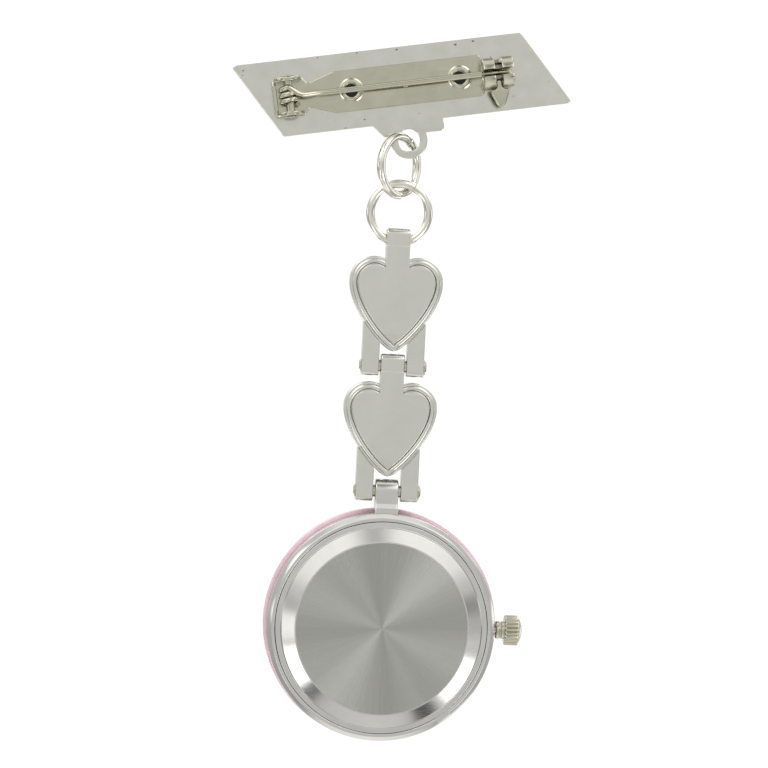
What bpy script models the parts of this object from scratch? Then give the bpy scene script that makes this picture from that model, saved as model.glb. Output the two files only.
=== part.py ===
"""Fob watch: a pin brooch, two jump rings, two heart links and a small quartz watch.

The brooch plate's rear face lies in the plane Y = 0 with the plate's centre at the origin. The chain hangs
down -Z, the watch's dial faces -Y and its case back faces +Y. Lengths are in millimetres, times MM.
"""

from math import asin, atan2, cos, degrees, hypot, pi, radians, sin

import bmesh
import bpy
from mathutils import Matrix, Vector

MM = 0.001

# Brooch plate: a slanted parallelogram with an ear below its middle.
PLATE_LENGTH = 35.6
PLATE_HEIGHT = 9.2
PLATE_SHEAR = 5.33
PLATE_THICKNESS = 0.8
PLATE_TILT = radians(9.6)
PLATE_CORNER = 0.45
EAR_STRIP = 1.5
EAR_DROP = 6.8
EAR_RADIUS = 2.25
EAR_HOLE_RADIUS = 1.35

# Pin back: a bar with a hinge at one end and a safety catch at the other.
BAR_HALF_HEIGHT = 2.5
BAR_THICKNESS = 0.5
BAR_LIFT = 0.03
STEM_RADIUS = 0.34
STEM_LIFT = 1.95
HINGE_U = -13.9
COIL_RADIUS = 0.92
COIL_PITCH = 0.74
CATCH_U = 11.5
CATCH_LENGTH = 3.7
CATCH_RADIUS = 1.85

# Chain: two jump rings and two equal heart links.
WIRE_RADIUS = 0.575
UPPER_RING_RADIUS = 3.55
UPPER_RING_CENTRE = Vector((0.0, 0.8, -9.9))
UPPER_RING_TURN = radians(48)
LOWER_RING_RADIUS = 3.54
CHAIN_X = -0.35
CHAIN_Y = 0.28
LOWER_RING_Z = -15.60
LINK_HOLE_Z = -18.99
LINK_PITCH = 15.3
HEART_HALF_WIDTH = 5.7
HEART_HEIGHT = 11.5
HEART_DROP = 1.95
LINK_HALF_DEPTH = 1.2
TAB_WIDTH = 2.9
TAB_RADIUS = 1.4
TAB_CORNER = 0.7
LEG_CORNER = 0.6
LEG_WIDTH = 2.1
LEG_SPAN = 7.6
KNUCKLE_HOLE_RADIUS = 0.82
LINK_PIN_RADIUS = 0.74

# Watch head: radii, and depths measured from the dial side (-) to the case back (+).
WATCH_DROP = 16.46
LUG_WIDTH = 2.8
CASE_RADIUS = 13.9
BEZEL_RADIUS = 14.3
BACK_RADIUS = 12.9
BACK_DISC_RADIUS = 10.5
BACK_FACE = 3.6
FLANGE_FACE = 2.8
CRYSTAL_RADIUS = 11.75
DIAL_RADIUS = 11.9
DIAL_FRONT = -1.40
PLATE_RADIUS = 9.6
CROWN_RADIUS = 1.85
CROWN_START = 15.25
CROWN_END = 17.45
CROWN_NECK_RADIUS = 1.08
CROWN_RIBS = 22
CROWN_DEPTH = 0.3
GAP = 0.03

# Gear train: number of teeth, module and the places of the arbors seen from the back.
FIFTH_PLACE = (-2.026, 1.17)
THIRD_PLACE = (-1.909, -1.909)
ROTOR_PLACE = (-2.39, 3.244)
MINUTE_PLACE = (-1.1, 1.905)
BATTERY_PLACE = (3.6, -4.8)
BATTERY_RADIUS = 2.9

COLOURS = {
    "chrome": ((0.50, 0.50, 0.47), 0.15, 1.0),
    "nickel": ((0.46, 0.44, 0.38), 0.25, 1.0),
    "enamel": ((0.86, 0.45, 0.55), 0.20, 0.0),
    "brushed": ((0.35, 0.35, 0.33), 0.40, 1.0),
    "white": ((0.85, 0.85, 0.83), 0.35, 0.0),
    "black": ((0.02, 0.02, 0.02), 0.35, 0.0),
    "red": ((0.60, 0.04, 0.04), 0.35, 0.0),
    "glass": ((0.90, 0.93, 0.95), 0.05, 0.0),
    "rubber": ((0.03, 0.03, 0.03), 0.70, 0.0),
    "brass": ((0.60, 0.45, 0.18), 0.30, 1.0),
    "steel": ((0.45, 0.45, 0.46), 0.30, 1.0),
    "copper": ((0.60, 0.25, 0.12), 0.35, 1.0),
    "board": ((0.05, 0.20, 0.10), 0.50, 0.0),
    "holder": ((0.75, 0.75, 0.72), 0.50, 0.0),
}


# ---------------------------------------------------------------- scene and materials


def clear_scene():
    for obj in list(bpy.data.objects):
        bpy.data.objects.remove(obj)


def new_collection(name):
    collection = bpy.data.collections.new(name)
    bpy.context.scene.collection.children.link(collection)
    return collection


def material(name):
    if name in bpy.data.materials:
        return bpy.data.materials[name]
    colour, roughness, metallic = COLOURS[name]
    made = bpy.data.materials.new(name)
    made.use_nodes = True
    shader = made.node_tree.nodes["Principled BSDF"]
    shader.inputs["Base Color"].default_value = (*colour, 1.0)
    shader.inputs["Roughness"].default_value = roughness
    shader.inputs["Metallic"].default_value = metallic
    return made


def empty(name, location, rotation=(0, 0, 0)):
    """A parent for the pieces that share one place or one joint axis."""
    made = bpy.data.objects.new(name, None)
    made.location = Vector(location) * MM
    made.rotation_euler = rotation
    made.empty_display_size = 2 * MM
    PARTS.objects.link(made)
    return made


def facing_back(location, tilt=0.0):
    """Rotation that puts local x on -X, local y on +Z and local z on +Y, then leans the piece by tilt."""
    return {"location": location, "rotation": (radians(90), -tilt, radians(180))}


# ---------------------------------------------------------------- solids


def new_object(name, mesh, parent=None):
    made = bpy.data.objects.new(name, mesh)
    PARTS.objects.link(made)
    made.parent = parent
    return made


def finish(obj, look, smooth=True):
    obj.data.materials.clear()
    obj.data.materials.append(material(look))
    if smooth:
        obj.data.shade_smooth()
        obj.data.set_sharp_from_angle(angle=radians(35))
    return obj


def baked(obj):
    """The same object with its modifiers applied to its mesh."""
    graph = bpy.context.evaluated_depsgraph_get()
    mesh = bpy.data.meshes.new_from_object(obj.evaluated_get(graph))
    obj.modifiers.clear()
    obj.data = mesh
    return obj


def to_mesh(obj):
    """A mesh object in place of a curve object, with its caps welded to its sides."""
    graph = bpy.context.evaluated_depsgraph_get()
    mesh = bpy.data.meshes.new_from_object(obj.evaluated_get(graph))
    edit = bmesh.new()
    edit.from_mesh(mesh)
    bmesh.ops.remove_doubles(edit, verts=edit.verts, dist=1e-7)
    bmesh.ops.recalc_face_normals(edit, faces=edit.faces)
    edit.to_mesh(mesh)
    edit.free()
    made = new_object("made", mesh, obj.parent)
    made.matrix_local = obj.matrix_local.copy()
    name = obj.name
    bpy.data.objects.remove(obj)
    made.name = name
    return made


def prism(name, loops, low, high, parent=None, place=None):
    """A flat outline in local x and y, in mm, with holes as further loops, between two depths."""
    curve = bpy.data.curves.new(name, "CURVE")
    curve.dimensions = "2D"
    curve.fill_mode = "BOTH"
    curve.extrude = (high - low) / 2 * MM
    for loop in loops:
        spline = curve.splines.new("POLY")
        spline.points.add(len(loop) - 1)
        for point, (x, y) in zip(spline.points, loop):
            point.co = (x * MM, y * MM, 0, 1)
        spline.use_cyclic_u = True
    obj = new_object(name, curve, parent)
    obj.matrix_local = (place or Matrix()) @ Matrix.Translation((0, 0, (low + high) / 2 * MM))
    return to_mesh(obj)


def turned(name, profile, steps, parent=None, place=None):
    """A profile of (radius, depth) points in mm, down its outer side, turned about local z."""
    edit = bmesh.new()
    verts = [edit.verts.new((radius * MM, 0, depth * MM)) for radius, depth in profile]
    for first, second in zip(verts, verts[1:]):
        edit.edges.new((first, second))
    if profile[0][0] > 0:
        edit.edges.new((verts[-1], verts[0]))
    mesh = bpy.data.meshes.new(name)
    edit.to_mesh(mesh)
    edit.free()
    obj = new_object(name, mesh, parent)
    obj.matrix_local = place or Matrix()
    screw = obj.modifiers.new("turn", "SCREW")
    screw.steps = screw.render_steps = steps
    screw.use_merge_vertices = True
    screw.merge_threshold = 1e-6
    return baked(obj)


def cylinder(name, radius, low, high, steps, parent=None, place=None):
    return turned(name, [(0, high), (radius, high), (radius, low), (0, low)], steps, parent, place)


def ring(name, inner, outer, low, high, steps, parent=None, place=None):
    profile = [(outer, high), (outer, low), (inner, low), (inner, high)]
    return turned(name, profile, steps, parent, place)


def box(name, low, high, parent=None):
    """A box between two corners, in mm."""
    mesh = bpy.data.meshes.new(name)
    edit = bmesh.new()
    bmesh.ops.create_cube(edit, size=1)
    size = (Vector(high) - Vector(low)) * MM
    middle = (Vector(high) + Vector(low)) / 2 * MM
    place = Matrix.Translation(middle) @ Matrix.Diagonal((*size, 1))
    bmesh.ops.transform(edit, matrix=place, verts=edit.verts)
    edit.to_mesh(mesh)
    edit.free()
    return new_object(name, mesh, parent)


def tube(name, points, radius, parent=None, resolution=2):
    """A round wire through points in mm, with flat ends."""
    curve = bpy.data.curves.new(name, "CURVE")
    curve.dimensions = "3D"
    curve.bevel_depth = radius * MM
    curve.bevel_resolution = resolution
    curve.use_fill_caps = True
    spline = curve.splines.new("POLY")
    spline.points.add(len(points) - 1)
    for point, place in zip(spline.points, points):
        point.co = (*(Vector(place) * MM), 1)
    return to_mesh(new_object(name, curve, parent))


def combine(obj, other, operation, solver="EXACT"):
    """Joins other to obj, or cuts it away, and removes other."""
    modifier = obj.modifiers.new(operation.lower(), "BOOLEAN")
    modifier.operation = operation
    modifier.solver = solver
    modifier.object = other
    bpy.context.view_layer.update()
    baked(obj)
    bpy.data.objects.remove(other)
    return obj


def joined(obj, *others):
    for other in others:
        combine(obj, other, "UNION")
    return obj


def cut(obj, *others):
    for other in others:
        combine(obj, other, "DIFFERENCE")
    return obj


def along_x(x=0.0, y=0.0, z=0.0):
    """Turns local z onto +x, for a shaft that lies along x."""
    return Matrix.Translation(Vector((x, y, z)) * MM) @ Matrix.Rotation(radians(90), 4, "Y")


def along_y(x=0.0, y=0.0, z=0.0):
    """Turns local z onto +y, for a shaft that lies along y."""
    return Matrix.Translation(Vector((x, y, z)) * MM) @ Matrix.Rotation(radians(-90), 4, "X")


def shifted(x, y, z=0.0):
    return Matrix.Translation(Vector((x, y, z)) * MM)


# ---------------------------------------------------------------- outlines


def arc(x, y, radius, start, end, steps):
    """Points on an arc, with its angles in degrees."""
    angles = [radians(start + (end - start) * i / steps) for i in range(steps + 1)]
    return [(x + radius * cos(a), y + radius * sin(a)) for a in angles]


def circle(x, y, radius, steps):
    return arc(x, y, radius, 0, 360, steps)[:-1]


def bezier(a, b, c, d, steps):
    points = []
    for i in range(steps + 1):
        t = i / steps
        weights = ((1 - t) ** 3, 3 * t * (1 - t) ** 2, 3 * t * t * (1 - t), t ** 3)
        points.append(tuple(sum(w * p[k] for w, p in zip(weights, (a, b, c, d))) for k in (0, 1)))
    return points


def mirrored(half):
    """A closed outline from its right half, which runs from top to bottom and starts and ends at x = 0."""
    return half + [(-x, y) for x, y in reversed(half[1:-1])]


def heart(inset, top, steps=7):
    """A heart whose lobes' tops lie at height top, drawn in by inset all round."""
    lobe = 3.05
    middle = HEART_HALF_WIDTH - lobe
    side = top - 3.3
    tip = top - HEART_HEIGHT
    notch = top - lobe + (lobe ** 2 - middle ** 2) ** 0.5
    start = atan2(notch - top + lobe, -middle) * 180 / pi
    half = arc(middle, top - lobe, lobe, start, 0, steps)
    half += bezier((HEART_HALF_WIDTH, side), (HEART_HALF_WIDTH - 0.1, side - 2.7), (2.9, tip + 1.9),
                   (0.9, tip + 0.35), steps)
    if inset == 0:
        return mirrored(half + [(0, tip)])
    drawn_in = [point for point in inset_outline(half, inset)[1:-1] if point[0] > 0.3]
    ends = [(0, on_axis(*drawn_in[:2])), (0, on_axis(*drawn_in[:-3:-1]))]
    return mirrored([ends[0]] + drawn_in + [ends[1]])


def on_axis(near, far):
    """The height at which the line through two points meets x = 0."""
    return near[1] - near[0] * (far[1] - near[1]) / (far[0] - near[0])


def inset_outline(points, inset):
    """Moves each point of a clockwise outline inwards by inset, square to its neighbours."""
    moved = []
    for i, (x, y) in enumerate(points):
        before, after = points[i - 1], points[(i + 1) % len(points)]
        dx, dy = after[0] - before[0], after[1] - before[1]
        length = hypot(dx, dy)
        moved.append((x + dy / length * inset, y - dx / length * inset))
    return moved


def rounded(corners, radius, steps=3):
    """A closed polygon with each corner replaced by a small arc."""
    points = []
    for i, corner in enumerate(corners):
        here = Vector(corner)
        back = (Vector(corners[i - 1]) - here).normalized()
        on = (Vector(corners[(i + 1) % len(corners)]) - here).normalized()
        half = back.angle(on) / 2
        reach = radius / abs(sin(half) / cos(half))
        start, end = here + back * reach, here + on * reach
        for k in range(steps + 1):
            t = k / steps
            points.append(tuple((1 - t) ** 2 * start + 2 * t * (1 - t) * here + t * t * end))
    return points


def toothed(teeth, module, phase=0.0):
    """A gear outline with pointed teeth, one module above and below its pitch circle."""
    pitch = teeth * module / 2
    root, tip = pitch - 1.1 * module, pitch + 0.85 * module
    points = []
    for i in range(teeth):
        for step, radius in ((-0.25, root), (0.25, root), (0.5, tip)):
            angle = 2 * pi * (i + step + phase) / teeth
            points.append((radius * cos(angle), radius * sin(angle)))
    return points


# ---------------------------------------------------------------- brooch


def slanted(inset, radius):
    """The plate's parallelogram, drawn in by inset, with rounded corners."""
    top = PLATE_HEIGHT / 2 - inset
    slant = PLATE_SHEAR / PLATE_HEIGHT * top
    half = PLATE_LENGTH / 2 - inset * hypot(PLATE_SHEAR, PLATE_HEIGHT) / PLATE_HEIGHT
    corners = [(-half - slant, top), (half - slant, top), (half + slant, -top), (-half + slant, -top)]
    return rounded(corners, radius)


def plate_outline():
    """The parallelogram with its hanging strip and the round ear below."""
    bottom = -PLATE_HEIGHT / 2
    strip = bottom - EAR_STRIP
    reach = degrees(asin((EAR_DROP + strip) / EAR_RADIUS))
    ear = arc(0, -EAR_DROP, EAR_RADIUS, reach, -180 - reach, 20)
    hanging = [(4.45, bottom), (4.45, strip + 0.4), (4.0, strip)] + ear + [(-2.9, strip), (-4.2, bottom)]
    corners = slanted(0, PLATE_CORNER)
    last = 3 * len(corners) // 4
    return corners[:last] + hanging + corners[last:]


def make_plate(parent):
    front = -PLATE_THICKNESS
    hole = circle(0, -EAR_DROP, EAR_HOLE_RADIUS, 28)
    plate = prism("brooch_plate", [plate_outline(), hole], front, 0, parent)
    recess = prism("recess", [slanted(0.75, 0.3)], front - 1, front + 0.35, parent)
    combine(plate, recess, "DIFFERENCE", "MANIFOLD")
    finish(plate, "chrome")
    finish(prism("brooch_enamel", [slanted(0.80, 0.3)], front - 0.05, front + 0.32, parent), "enamel")


def catch_shell(name, inner, outer, low, high, slot, parent):
    """A tube along x around the stem's end, open towards +z by a slot of the given width."""
    shell = turned(name, [(outer, high), (outer, low), (inner, low), (inner, high)], 28, parent,
                   along_x(0, 0, STEM_LIFT))
    far = (high + 1, slot / 2, STEM_LIFT + outer + 1)
    return cut(shell, box("slot", (low - 1, -slot / 2, STEM_LIFT), far, parent))


def make_bar(parent):
    bottom, top = BAR_LIFT, BAR_LIFT + BAR_THICKNESS
    low, high = CATCH_U - CATCH_LENGTH / 2, CATCH_U + CATCH_LENGTH / 2
    half = BAR_HALF_HEIGHT
    end = high - 0.2
    outline = [(-11.5, 1.45), (-8.3, half), (low, half), (low + 0.4, 1.5), (end, 1.5), (end, -1.5),
               (low + 0.4, -1.5), (low, -half), (-8.3, -half), (-11.5, -1.45), (-12.2, -2.35),
               (-15.9, -2.35), (-15.9, 2.35), (-12.2, 2.35)]
    holes = [circle(-6.3, 0, 1.0, 16), circle(7.0, 0, 1.0, 16)]
    bar = prism("pin_bar", [outline] + holes, bottom, top, parent)
    for u in (-6.3, 7.0):
        joined(bar, ring("flange", 0.85, 1.25, bottom + 0.1, top + 0.35, 20, parent, shifted(u, 0)))
    for v in (-2.07, 2.07):
        cheek = [(-15.6, bottom + 0.1), (-12.3, bottom + 0.1), (-12.3, 2.3)]
        cheek += arc(HINGE_U, 2.3, 1.55, 20, 160, 6) + [(-15.6, 2.3)]
        turn = Matrix.Rotation(radians(90), 4, "X")
        wall = prism("cheek", [cheek], -0.24, 0.24, parent, shifted(0, v) @ turn)
        joined(bar, wall)
    joined(bar, box("end_wall", (-15.85, -2.2, bottom + 0.15), (-15.4, 2.2, 1.7), parent))
    cut(bar, cylinder("rivet_hole", 0.53, -4, 4, 16, parent, along_y(HINGE_U, 0, STEM_LIFT)))

    housing = catch_shell("housing", 1.35, CATCH_RADIUS, low, high, 0.86, parent)
    window = ring("window", 1.0, 3.0, -0.42, 0.42, 28, parent, along_x(CATCH_U, 0, STEM_LIFT))
    lower = box("lower", (CATCH_U - 1, -4, -3), (CATCH_U + 1, 4, STEM_LIFT - 0.75), parent)
    cut(window, lower)
    cut(housing, window)
    joined(bar, housing)
    finish(bar, "nickel")


def make_rivet(parent):
    half = 2.62
    head = 0.22
    profile = [(0, half), (0.8, half), (0.8, half - head), (0.5, half - head), (0.5, head - half),
               (0.8, head - half), (0.8, -half), (0, -half)]
    finish(turned("hinge_rivet", profile, 16, parent, along_y(HINGE_U, 0, STEM_LIFT)), "nickel")


def make_stem(parent):
    """The pin wire: a straight stem that ends in three coil turns round the rivet."""
    top = STEM_LIFT + COIL_RADIUS
    tip = CATCH_U + 1.2
    points = [(tip, 0, STEM_LIFT), (tip - 0.9, 0, STEM_LIFT), (-5.0, 0, STEM_LIFT),
              (-10.6, 0.02, STEM_LIFT + 0.3), (-12.6, 0.06, top - 0.08)]
    turns, per_turn = 2.75, 14
    first = 1.05
    for i in range(int(turns * per_turn) + 1):
        angle = pi / 2 + 2 * pi * i / per_turn
        v = first - COIL_PITCH * i / per_turn
        points.append((HINGE_U + COIL_RADIUS * cos(angle), v, STEM_LIFT + COIL_RADIUS * sin(angle)))
    stem = tube("pin_stem", points, STEM_RADIUS, parent)
    finish(stem, "nickel")


def make_catch(parent):
    low, high = CATCH_U - CATCH_LENGTH / 2 + 0.1, CATCH_U + CATCH_LENGTH / 2 - 0.1
    roller = catch_shell("catch_roller", 0.42, 1.3, low, high, 0.80, parent)
    half = [(0.38, -0.9), (0.38, -1.97), (1.15, -2.0), (1.1, -2.5), (0.6, -3.7), (0.3, -4.15)]
    outline = half + [(-u, v) for u, v in reversed(half)]
    thumb = prism("thumb", [outline], -0.3, 0.3, parent, shifted(CATCH_U, 0, STEM_LIFT))
    joined(roller, thumb)
    finish(roller, "nickel")


# ---------------------------------------------------------------- chain


def make_ring(name, centre, radius, across, parent):
    """A jump ring of round wire, bent from an open circle whose two ends almost meet."""
    start, end = radians(62), radians(62 + 358)
    count = 36
    points = []
    for i in range(count + 1):
        angle = start + (end - start) * i / count
        points.append(centre + radius * (cos(angle) * across + sin(angle) * Vector((0, 0, 1))))
    finish(tube(name, points, WIRE_RADIUS, parent), "nickel")


def side_prism(name, outline, low, high, parent):
    """An outline in depth and height, with its thickness along local x."""
    turn = Matrix(((0, 0, -1, 0), (0, 1, 0, 0), (1, 0, 0, 0), (0, 0, 0, 1)))
    return prism(name, [outline], low, high, parent, turn)


def make_link(name, parent):
    """A heart with a knuckle above and two legs below, in local x and y about the knuckle's hole."""
    top = -HEART_DROP
    depth = LINK_HALF_DEPTH
    body = prism(name, [heart(0, top)], -depth, depth - 0.45, parent)
    pad = prism("pad", [heart(0.85, top)], 0, depth, parent)
    side = depth - TAB_CORNER
    knuckle = arc(side, 0.8, TAB_CORNER, 0, 90, 6) + arc(-side, 0.8, TAB_CORNER, 90, 180, 6)
    knuckle += [(-depth, top - 3.7), (depth, top - 3.7)]
    tab = side_prism("tab", knuckle, -TAB_WIDTH / 2, TAB_WIDTH / 2, parent)
    legs = []
    end = -LINK_PITCH
    inner, outer = LEG_SPAN / 2 - LEG_WIDTH, LEG_SPAN / 2
    side, foot = depth - LEG_CORNER, end - depth + LEG_CORNER
    shape = arc(-side, foot, LEG_CORNER, 180, 270, 5) + arc(side, foot, LEG_CORNER, 270, 360, 5)
    shape += [(depth, end + 5.5), (-depth, end + 5.5)]
    for low, high in ((inner, outer), (-outer, -inner)):
        leg = side_prism("leg", shape, low, high, parent)
        legs.append(cut(leg, prism("clearance", [heart(-0.12, top)], 0.45, depth + 1, parent)))
    joined(body, pad, tab, *legs)
    knuckle_hole = cylinder("hole", KNUCKLE_HOLE_RADIUS, -3, 3, 20, parent, along_x(0, 0, 0))
    leg_hole = cylinder("leg_hole", LINK_PIN_RADIUS + GAP, -6, 6, 20, parent, along_x(0, end, 0))
    recess = prism("recess", [heart(0.9, top)], -depth - 1, -depth + 0.4, parent)
    cut(body, knuckle_hole, leg_hole, recess)
    finish(body, "chrome")
    enamel = prism(name.replace("link", "enamel"), [heart(0.95, top)], -depth - 0.1, -depth + 0.37, parent)
    finish(enamel, "enamel")


def make_link_pin(name, parent):
    half = LEG_SPAN / 2
    profile = [(0, half + 0.40), (0.7, half + 0.40), (0.95, half + 0.15), (0.95, half + GAP),
               (LINK_PIN_RADIUS, half + GAP), (LINK_PIN_RADIUS, -half - 0.25), (0, -half - 0.25)]
    finish(turned(name, profile, 20, parent, along_x(0, -LINK_PITCH, 0)), "nickel")


# ---------------------------------------------------------------- watch case


def make_case(parent):
    profile = [(13.35, 2.75), (CASE_RADIUS, 2.2), (CASE_RADIUS, -0.75), (12.9, -0.75), (12.9, -1.5),
               (12.2, -1.5), (12.2, 1.45), (12.95, 1.45), (12.95, 2.75)]
    case = turned("case_middle", profile, 56, parent)
    top = WATCH_DROP
    clear = BEZEL_RADIUS + 0.2
    shape = arc(0, top + 0.1, TAB_RADIUS, 0, 180, 10) + [(-1.4, clear + 0.4), (-0.7, clear), (-0.7, 13.3)]
    shape += [(1.9, 13.3), (1.9, clear), (TAB_RADIUS, clear + 0.5)]
    joined(case, side_prism("lug", shape, -LUG_WIDTH / 2, LUG_WIDTH / 2, parent))
    cut(case, cylinder("lug_hole", KNUCKLE_HOLE_RADIUS, -3, 3, 20, parent, along_x(0, top, 0)))
    cut(case, cylinder("stem_bore", 0.78, 10, 16, 20, parent, along_x(0, 0, CROWN_DEPTH)))
    cut(case, cylinder("crown_seat", 1.95, 13.3, 16, 24, parent, along_x(0, 0, CROWN_DEPTH + 0.2)))
    notch_angle = radians(-53)
    place = Matrix.Rotation(notch_angle, 4, "Z") @ shifted(13.2, 0, 2.9)
    notch = box("pry_notch", (-0.6, -0.9, -0.3), (0.9, 0.9, 0.6), parent)
    notch.matrix_local = place
    cut(case, notch)
    finish(case, "chrome")


def make_case_back(parent):
    profile = [(0, BACK_FACE), (BACK_DISC_RADIUS, BACK_FACE), (12.15, 3.02), (12.3, FLANGE_FACE),
               (BACK_RADIUS, FLANGE_FACE), (BACK_RADIUS, 1.80), (12.45, 1.80), (12.3, 2.45), (11.2, 2.75),
               (10.0, 3.05), (0, 3.05)]
    finish(turned("case_back", profile, 56, parent), "brushed")
    finish(ring("case_back_gasket", 12.3, 12.88, 1.48, 1.77, 40, parent), "rubber")


def make_bezel(parent):
    profile = [(12.93, -0.78), (14.0, -0.78), (BEZEL_RADIUS, -1.15), (BEZEL_RADIUS, -2.2), (13.9, -3.05),
               (12.9, -3.6), (12.2, -3.6), (12.12, -3.5), (12.12, -2.3), (11.35, -2.3), (11.35, -1.55),
               (12.93, -1.55)]
    finish(turned("bezel", profile, 56, parent), "enamel")
    crystal = [(0, -2.33), (CRYSTAL_RADIUS, -2.33), (CRYSTAL_RADIUS, -3.45), (11.45, -3.7), (0, -3.8)]
    finish(turned("crystal", crystal, 48, parent), "glass")
    finish(ring("crystal_gasket", 11.80, 12.09, -3.4, -2.36, 40, parent), "white")


def make_dial(parent):
    finish(ring("dial", 0.95, DIAL_RADIUS, DIAL_FRONT, DIAL_FRONT + 0.3, 48, parent), "white")


def hand(name, length, tail, width, hub, bore, depth, angle, look, parent):
    """A tapered hand with a round hub; angle is in degrees clockwise on the dial, whose 12 lies lowest."""
    outline = [(width, 0), (width, length * 0.62), (0, length), (-width, length * 0.62), (-width, 0),
               (-width * 0.8, -tail), (width * 0.8, -tail)]
    place = Matrix.Rotation(radians(angle + 180), 4, "Z")
    blade = prism(name, [outline], depth, depth + 0.1, parent, place)
    joined(blade, cylinder("hub", hub, depth - 0.02, depth + 0.12, 16, parent))
    cut(blade, cylinder("bore", bore, depth - 1, depth + 1, 14, parent))
    finish(blade, look)


def make_crown(parent):
    """Knurled crown along local x, with a domed end and a neck."""
    ribs = []
    for i in range(CROWN_RIBS * 2):
        radius = CROWN_RADIUS if i % 2 else CROWN_RADIUS - 0.16
        ribs.append((radius * cos(pi * i / CROWN_RIBS), radius * sin(pi * i / CROWN_RIBS)))
    crown = prism("crown", [ribs], CROWN_START, CROWN_END - 0.45, parent, along_x(0, 0, CROWN_DEPTH))
    axis = along_x(0, 0, CROWN_DEPTH)
    dome = [(0, CROWN_END), (0.9, CROWN_END - 0.08), (1.45, CROWN_END - 0.28), (1.62, CROWN_END - 0.5),
            (0, CROWN_END - 0.6)]
    joined(crown, turned("dome", dome, 24, parent, axis))
    joined(crown, ring("neck", 0.62, CROWN_NECK_RADIUS, 14.2, CROWN_START + 0.1, 20, parent, axis))
    socket = cylinder("stem_socket", 0.38, 14, CROWN_END - 0.9, 14, parent, axis)
    combine(crown, socket, "DIFFERENCE", "MANIFOLD")
    finish(crown, "nickel")
    profile = [(0, CROWN_END - 0.95), (0.35, CROWN_END - 0.95), (0.35, 6.4), (0.22, 6.4), (0.22, 5.9),
               (0.35, 5.9), (0.35, 4.4), (0, 4.4)]
    finish(turned("winding_stem", profile, 14, parent, axis), "steel")


def make_tube(parent):
    finish(ring("crown_tube", 0.42, 0.75, 12.25, 13.5, 20, parent, along_x(0, 0, CROWN_DEPTH)), "steel")
    finish(ring("crown_gasket", 0.38, 0.59, 14.25, 14.75, 16, parent, along_x(0, 0, CROWN_DEPTH)), "rubber")


# ---------------------------------------------------------------- movement


def make_plates(parent):
    outer, inner = 12.1, PLATE_RADIUS + 0.05
    holder = turned("movement_ring", [(outer, 1.4), (outer, -1.05), (inner, -1.05), (inner, 1.4)], 48, parent)
    cut(holder, cylinder("channel", 0.75, 8, 14, 16, parent, along_x(0, 0, CROWN_DEPTH)))
    finish(holder, "holder")

    plate = cylinder("main_plate", PLATE_RADIUS, -0.55, 0.15, 48, parent)
    well = cylinder("well", BATTERY_RADIUS + 0.1, -2, 2, 32, parent, shifted(*BATTERY_PLACE))
    centre_hole = cylinder("centre_hole", 0.60, -2, 2, 16, parent)
    stem_groove = cylinder("stem_groove", 0.45, 3.9, 12, 14, parent, along_x(0, 0, CROWN_DEPTH))
    cut(plate, well, centre_hole, stem_groove)
    for x, y in (FIFTH_PLACE, THIRD_PLACE, ROTOR_PLACE):
        cut(plate, cylinder("pivot_hole", 0.12, -2, 2, 8, parent, shifted(x, y)))
    pillars = ((-6.6, 1.2), (4.6, 3.9))
    for x, y in pillars:
        joined(plate, cylinder("pillar", 0.75, 0, 1.92, 14, parent, shifted(x, y)))
        cut(plate, cylinder("thread", 0.34, -0.2, 3, 10, parent, shifted(x, y)))
    joined(plate, cylinder("minute_post", 0.22, -1.0, 0, 10, parent, shifted(*MINUTE_PLACE)))
    finish(plate, "brass")

    outline = rounded([(-7.8, 0.2), (-5.2, -3.6), (-0.6, -3.6), (1.2, 0.6), (5.9, 2.8), (5.9, 5.0),
                       (0.8, 5.0), (-7.0, 5.0)], 0.8)
    bridge = prism("train_bridge", [outline], 1.95, 2.3, parent)
    cut(bridge, cylinder("centre_pivot", 0.16, 1, 3, 8, parent))
    for x, y in (FIFTH_PLACE, THIRD_PLACE, ROTOR_PLACE):
        cut(bridge, cylinder("pivot_hole", 0.12, 1, 3, 8, parent, shifted(x, y)))
    for index, (x, y) in enumerate(pillars):
        cut(bridge, cylinder("screw_hole", 0.36, 1, 3, 10, parent, shifted(x, y)))
        profile = [(0, 2.62), (0.6, 2.62), (0.6, 2.33), (0.31, 2.33), (0.31, 0.6), (0, 0.6)]
        screw = turned(f"bridge_screw_{index + 1}", profile, 12, parent, shifted(x, y))
        cut(screw, box("slot", (x - 1, y - 0.09, 2.48), (x + 1, y + 0.09, 3), parent))
        finish(screw, "steel")
    finish(bridge, "brass")


def gear(name, place, wheel, pinion, arbor, bore, look, parent):
    """A wheel and its pinion, each (teeth, module, low, high), on an arbor of (radius, low, high)."""
    radius, low, high = arbor
    made = cylinder(name, radius, low, high, 12, parent, shifted(*place))
    for teeth, module, bottom, top in (wheel, pinion):
        joined(made, prism("teeth", [toothed(teeth, module)], bottom, top, parent, shifted(*place)))
    if bore:
        cut(made, cylinder("bore", bore, low - 1, high + 1, 12, parent, shifted(*place)))
    return finish(made, look)


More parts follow.
